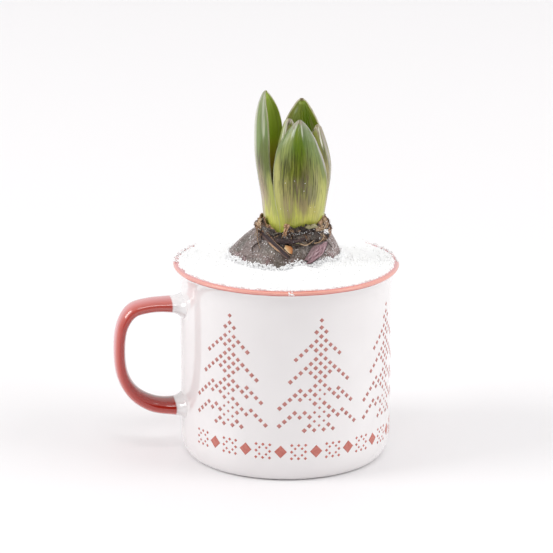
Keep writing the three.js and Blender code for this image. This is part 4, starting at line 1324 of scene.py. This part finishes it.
# Build the shreds: each reach is a first and a last bearing and a share of the height
all_front, all_back, right_end = (-10, 60, 1), (100, 260, 1), (45, 75, 1)
shreds("dark_shreds", 80, [(-34, 62, 1)], (1, 3.4), dark_paper, 41)
shreds("grey_shreds", 60, [(-60, -20, 0.7), all_front, all_front, all_back], (0.9, 2.8), grey_paper, 42)
shreds("brown_shreds", 80, [(-95, -35, 0.9), (-20, 60, 1), (48, 260, 1), all_back], (1, 3), brown_paper, 43)
shreds("tan_shreds", 60, [(-90, -60, 0.8), (-60, 45, 1), right_end, right_end, all_back], (0.6, 1.8),
       tan_paper, 44)

# Build the thin pieces under the collar's hem, and the fibres
strip("maroon_hem", over_skin((-14, 91.2, 1.6), (-4, 90.5, 1.8), (10, 90.6, 1.8), (28, 91.2, 1.6)),
      over_skin((-10, 89.6, 1.5), (-1, 89.2, 1.7), (10, 89.3, 1.7), (26, 90.2, 1.5)), maroon_paper,
      bow=0.5, crumple=0.35, ragged=0.1, seed=51, rows=30)
LEFT_THREADS = [
    (-62, 92.4, -30, 87, tan_paper), (-54, 92.2, -36, 89.4, brown_paper),
    (-75, 93, -52, 90.2, tan_paper), (-40, 91.4, -47, 89, brown_paper),
]
for number, (from_bearing, top, to_bearing, low, paper) in enumerate(LEFT_THREADS):
    middle = ((from_bearing + to_bearing) / 2 + 2, (top + low) / 2 + 0.3, 1.1)
    thread("left_thread_%d" % number,
           over_skin((from_bearing, top, 1.1), middle, (to_bearing, low, 1.1)), 0.2, paper)
strip("skin_layer", over_skin((-74, 92.6, 0.25), (-86, 89, 0.15), (-98, 84.5, 0.1)),
      over_skin((-47, 91.6, 0.3), (-38, 90, 0.35), (-45, 87.4, 0.3), (-35, 84, 0.15)), skin,
      bow=0.05, crumple=0.12, ragged=0.5, thickness=0.2, seed=61, columns=40, rows=60, slot="tunic")
strip("beige_hem", over_skin((13.5, 90, 1.2), (13, 89.3, 1.4)), over_skin((22, 89.9, 1.2), (21, 89.3, 1.4)),
      pale_paper, bow=0.2, crumple=0.2, seed=30, slot="tan_scale")
thread("tan_thread", over_skin((19, 89.1, 1.5), (25, 88.6, 1.5), (31, 89.1, 1.5), (38, 89.9, 1.5)), 0.28,
       tan_paper)
thread("hem_thread", over_skin((36, 88.9, 1.5), (44, 89, 1.5), (52, 89.9, 1.5), (57, 91, 1.5)), 0.25,
       tan_paper)
thread("curled_twig", [(70, 14.6, 93), (74, 15.4, 94.4), (79, 15.6, 93.6), (80, 15.4, 92.4)], 0.3,
       dark_paper)
thread("side_twig", over_skin((56, 89.4, 0.7), (60, 87.9, 0.7), (62, 86.4, 0.7)), 0.35, dark_paper)

# Build the leaves: first the colours up a leaf, and the spots of colour on its face. Some spots are painted
# highlights and painted sheen, and the dark spots in the hooded tips are painted shade.
green = [(0, 204, 212, 88), (0.14, 184, 188, 84), (0.3, 140, 144, 60), (0.5, 108, 124, 46),
         (0.7, 92, 116, 54), (0.9, 116, 130, 92)]
pale_green = [(0, 204, 212, 96), (0.14, 184, 182, 110), (0.32, 146, 144, 98), (0.5, 120, 132, 80),
              (0.72, 108, 132, 72), (0.95, 126, 140, 92)]
olive = [(0, 206, 212, 96), (0.16, 172, 172, 96), (0.36, 134, 136, 78), (0.56, 112, 118, 60),
         (0.76, 124, 126, 80), (0.9, 160, 152, 128)]
dark_stain = (70, 60, 46)
front_patches = [
    (0.24, 0.15, 129, 8, (160, 170, 94), 0.6, 0.1), (0.45, 0.12, 133, 5, (106, 128, 22), 0.8, 0.1),
    (0.78, 0.15, 123, 11, (124, 142, 78), 0.6, 0.3), (0.53, 0.13, 126, 8, (94, 118, 8), 0.8, 0.3),
    (0.4, 0.32, 117.5, 9, (72, 72, 28), 0.85, 0.8), (0.67, 0.16, 117, 8, (90, 90, 44), 0.6, 0.9),
    (0.24, 0.12, 116, 8, (74, 72, 34), 0.8, 0.9), (0.1, 0.1, 112, 13, (196, 190, 116), 0.75, 0.2),
    (0.36, 0.24, 114, 9, (126, 136, 30), 0.35, -0.9), (0.27, 0.12, 110, 6, (172, 156, 98), 0.5, 0.2),
    (0.6, 0.12, 114, 7, (108, 96, 74), 0.8, 0.6), (0.44, 0.13, 111, 7, (112, 94, 72), 0.85, 0.7),
    (0.25, 0.14, 104.5, 6, (158, 144, 102), 0.6, 0.6), (0.5, 0.2, 103, 5, (162, 146, 98), 0.6, 0.6),
    (0.88, 0.13, 106.5, 10, (208, 208, 120), 0.8, 0.25), (0.72, 0.14, 103, 5, (206, 200, 104), 0.75, 0.3),
    (0.58, 0.28, 98.5, 5, (210, 208, 98), 0.7, 0.2), (0.52, 0.3, 97, 4, (206, 210, 90), 0.5, 0.3),
    (0.74, 0.13, 111, 7, (168, 166, 118), 0.5, 0.5), (0.27, 0.12, 112, 6, (172, 166, 100), 0.35, 0.6),
    # The next two are painted highlights at the tip
    (0.3, 0.07, 135.2, 2.6, (206, 216, 190), 0.75, 0.1),
    (0.6, 0.045, 135.2, 2.6, (216, 222, 200), 0.75, 0.1),
    (0.5, 0.6, 137.6, 1, (156, 134, 122), 0.8, 0), (0.985, 0.045, 126, 14, (200, 194, 194), 0.75, 0.1),
    (0.79, 0.1, 116.8, 5, (182, 176, 118), 0.5, 0.3), (0.65, 0.1, 120.5, 4, (150, 150, 84), 0.3, 0.4),
]
left_patches = [
    # The first is a painted highlight, the second a painted silvery sheen near the left edge
    (0.91, 0.04, 137, 12, (208, 212, 190), 0.55, 0.2), (0.66, 0.1, 132, 20, (222, 220, 204), 0.7, 0),
    (0.8, 0.06, 136, 12, (138, 156, 98), 0.5, 0.3), (0.92, 0.13, 123, 8, (92, 104, 34), 0.8, 0.3),
    (0.77, 0.09, 111, 10, (180, 154, 136), 0.75, 0.5), (0.8, 0.1, 119, 6, (106, 94, 74), 0.7, 0.9),
    (0.96, 0.09, 107, 12, (178, 186, 90), 0.8, 0.2), (0.67, 0.06, 104, 11, (216, 198, 176), 0.6, 0.2),
    (0.82, 0.22, 97, 5, (218, 222, 104), 0.75, 0.1),
]
right_patches = [
    # The first is a painted highlight
    (0.27, 0.035, 130, 4.5, (242, 240, 224), 0.95, 0.1), (0.11, 0.1, 124, 9, (122, 126, 38), 0.85, 0.3),
    # The second is a painted silvery sheen along the edge
    (0.24, 0.1, 113, 9, (192, 178, 122), 0.75, 0.4), (0.38, 0.08, 118, 17, (216, 208, 204), 0.5, 0.1),
    (0.14, 0.12, 106, 6, (190, 182, 122), 0.6, 0.3), (0.12, 0.06, 117, 10, (100, 92, 52), 0.6, 0.8),
    (0.12, 0.13, 130.3, 5.5, (130, 134, 48), 1, 0.05), (0.4, 0.08, 130, 5, (164, 150, 146), 0.6, 0.2),
    # The second is painted shade in the hood's hollow
    (0.3, 0.4, 134.1, 0.9, (152, 128, 114), 0.8, 0), (0.02, 0.06, 131.6, 2, (60, 44, 34), 1, 0),
    (0.19, 0.06, 121, 5, (140, 132, 56), 0.55, 0.3),
]
inner_patches = [
    # Painted light on the left flank, then a painted highlight
    (0.42, 0.2, 126, 15, (238, 246, 176), 1, 0.05), (0.52, 0.05, 130, 7, (240, 242, 224), 0.9, 0.1),
    # A painted highlight, then painted shade in the hood's hollow
    (0.61, 0.045, 134.5, 3.5, (226, 226, 212), 0.9, 0), (0.78, 0.16, 135.9, 1.7, (54, 42, 38), 1, 0),
    (0.82, 0.15, 133.4, 2.2, (130, 140, 46), 1, 0.1), (0.7, 0.4, 137.5, 0.6, (190, 168, 158), 0.9, 0),
]
back_patches = [
    (0.76, 0.22, 132, 13, (158, 172, 92), 0.8, 0.1), (0.27, 0.22, 131, 13, (96, 126, 0), 0.85, 0.1),
    # The first is a spot of painted sheen
    (0.8, 0.08, 137.3, 1.8, (196, 206, 160), 0.7, 0.2), (0.5, 0.6, 142, 1.2, (154, 120, 108), 0.8, 0),
    (0.17, 0.06, 130.5, 5, (150, 152, 84), 0.6, 0.1), (0.92, 0.06, 132, 9, (160, 150, 90), 0.5, 0.2),
]
margin = leaf_margin()
leaf("leaf_front",
     leaf_outer("front leaf", (4.8, -1.2, 1), green, sheen_colour=(172, 180, 140), shine=(0.4, 0.28, 0.46),
                stain=dark_stain, stain_share=0.5, keel_share=0.3, patches=front_patches, hood=0.1),
     leaf_inner_face("front leaf inside", [(0, 150, 168, 84), (0.8, 96, 110, 52)], 0.5), margin, 1)
leaf("leaf_left",
     leaf_outer("left leaf", (-2, 0.4, -104), pale_green, sheen_colour=(196, 198, 186), shine=(0.45, 0.27, 0.15),
                stain=(110, 96, 88), stain_share=0.5, keel_share=0, patches=left_patches),
     leaf_inner_face("left leaf inside", [(0.1, 98, 78, 30), (0.36, 142, 120, 24), (0.6, 124, 148, 18),
                                          (0.92, 152, 176, 60)], 0.12), margin, 2)
leaf("leaf_back",
     leaf_outer("back leaf", (5.4, 1.6, 180), green, sheen_colour=(160, 172, 140), shine=(0.6, 0.22, 0.44),
                stain=dark_stain, stain_share=0.6, keel_share=0.5),
     leaf_inner_face("back leaf inside", [(0.2, 110, 136, 6), (0.8, 134, 152, 40)], 0.12, back_patches),
     margin, 3)
leaf("leaf_right",
     leaf_outer("right leaf", (7.5, -0.2, 92), olive, sheen_colour=(214, 206, 190), shine=(0.5, 0.2, 0.04),
                stain=(92, 78, 56), stain_share=0.7, keel_share=0, patches=right_patches, hood_at=0.3),
     leaf_inner_face("right leaf inside", [(0.2, 120, 130, 60), (0.8, 90, 76, 56)], 0.6), margin, 4)
leaf("leaf_inner",
     leaf_outer("inner leaf", (2.3, -2, -50), olive, sheen_colour=(196, 196, 180), shine=(0.6, 0.2, 0.4),
                stain=dark_stain, stain_share=0.4, keel_share=0.2, patches=inner_patches, hood=0.25,
                hood_at=0.66),
     leaf_inner_face("inner leaf inside", [(0.2, 110, 124, 56), (0.8, 78, 60, 52)], 0.7), margin, 5)
flower_bud(bud_green())

# The hidden pieces keep their own shape
for node, finish in (("soil", soil_brown()), ("roots", root_cream())):
    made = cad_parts[node]
    made.data.materials.clear()
    made.data.materials.append(finish)


# Stage: a pale floor, soft light and the camera. Its places are in metres.
FLOOR_HALF = 6
CARD_HALF = 0.88
CARD_PLACE = (-0.23, -1.3, 0.7)
LIGHT_AIM = Vector((0, 0, 0.08))
LAMPS = [
    ("left", (-2.4, -0.14, 1.8), (1.3, 1.3), 31),
    ("right", (2.21, -0.94, 1.8), (1.6, 1.6), 25),
    ("top", (-0.14, -0.8, 1.3), (0.6, 0.2), 2.5),
]
WORLD_STRENGTH = 0.85

# The camera's place about the plant's upright axis, in millimetres and radians, and its frame
CAMERA_TILT = 0.2777
CAMERA_ROLL = 0.0053
CAMERA_DISTANCE = 998.0462
CAMERA_ASIDE = -3.8011
AIM_HEIGHT = 71.8257
SENSOR_WIDTH = 36
FRAME_PIXELS = 553
FOCAL_PIXELS = 2500


def stage_sheet(name, half, colour, roughness, place=(0, 0, 0), turn=(0, 0, 0)):
    mesh = bmesh.new()
    bmesh.ops.create_grid(mesh, x_segments=1, y_segments=1, size=half)
    data = bpy.data.meshes.new(name)
    mesh.to_mesh(data)
    mesh.free()
    data.materials.append(Finish(name + " paint", Roughness=roughness).paint(colour))
    made = bpy.data.objects.new(name, data)
    made.location = place
    made.rotation_euler = turn
    bpy.context.collection.objects.link(made)


def soft_light(name, place, size, power):
    lamp = bpy.data.lights.new(name, "AREA")
    lamp.shape = "RECTANGLE"
    lamp.size, lamp.size_y = size
    lamp.energy = power
    light = bpy.data.objects.new(name, lamp)
    light.location = place
    light.rotation_euler = (LIGHT_AIM - Vector(place)).to_track_quat("-Z", "Y").to_euler()
    bpy.context.collection.objects.link(light)


def white_surroundings():
    world = bpy.data.worlds.new("studio")
    world.use_nodes = True
    background = world.node_tree.nodes["Background"]
    background.inputs["Color"].default_value = (1, 1, 1, 1)
    background.inputs["Strength"].default_value = WORLD_STRENGTH
    bpy.context.scene.world = world
    bpy.context.scene.view_settings.view_transform = "Standard"


def camera():
    lens = bpy.data.cameras.new("camera")
    lens.sensor_width = SENSOR_WIDTH
    lens.lens = FOCAL_PIXELS * SENSOR_WIDTH / FRAME_PIXELS
    lens.clip_start = 0.05
    lens.clip_end = 30
    made = bpy.data.objects.new("camera", lens)
    spot = on_plant(CAMERA_ASIDE, -CAMERA_DISTANCE * math.cos(CAMERA_TILT),
                    AIM_HEIGHT + CAMERA_DISTANCE * math.sin(CAMERA_TILT)) * MM
    turn = Matrix.Rotation(PLANT_TURN, 4, "Z") @ Matrix.Rotation(math.pi / 2 - CAMERA_TILT, 4, "X")
    made.matrix_world = Matrix.Translation(spot) @ turn @ Matrix.Rotation(CAMERA_ROLL, 4, "Z")
    bpy.context.collection.objects.link(made)
    bpy.context.scene.camera = made


stage_sheet("floor", FLOOR_HALF, (241, 239, 240), 0.6)
for lamp in LAMPS:
    soft_light(*lamp)
# A dark card behind the camera keeps the mug's front a little darker than its sides
stage_sheet("grey_card", CARD_HALF, (44, 44, 46), 0.9, CARD_PLACE, (math.pi / 2, 0, PLANT_TURN))
white_surroundings()
camera()
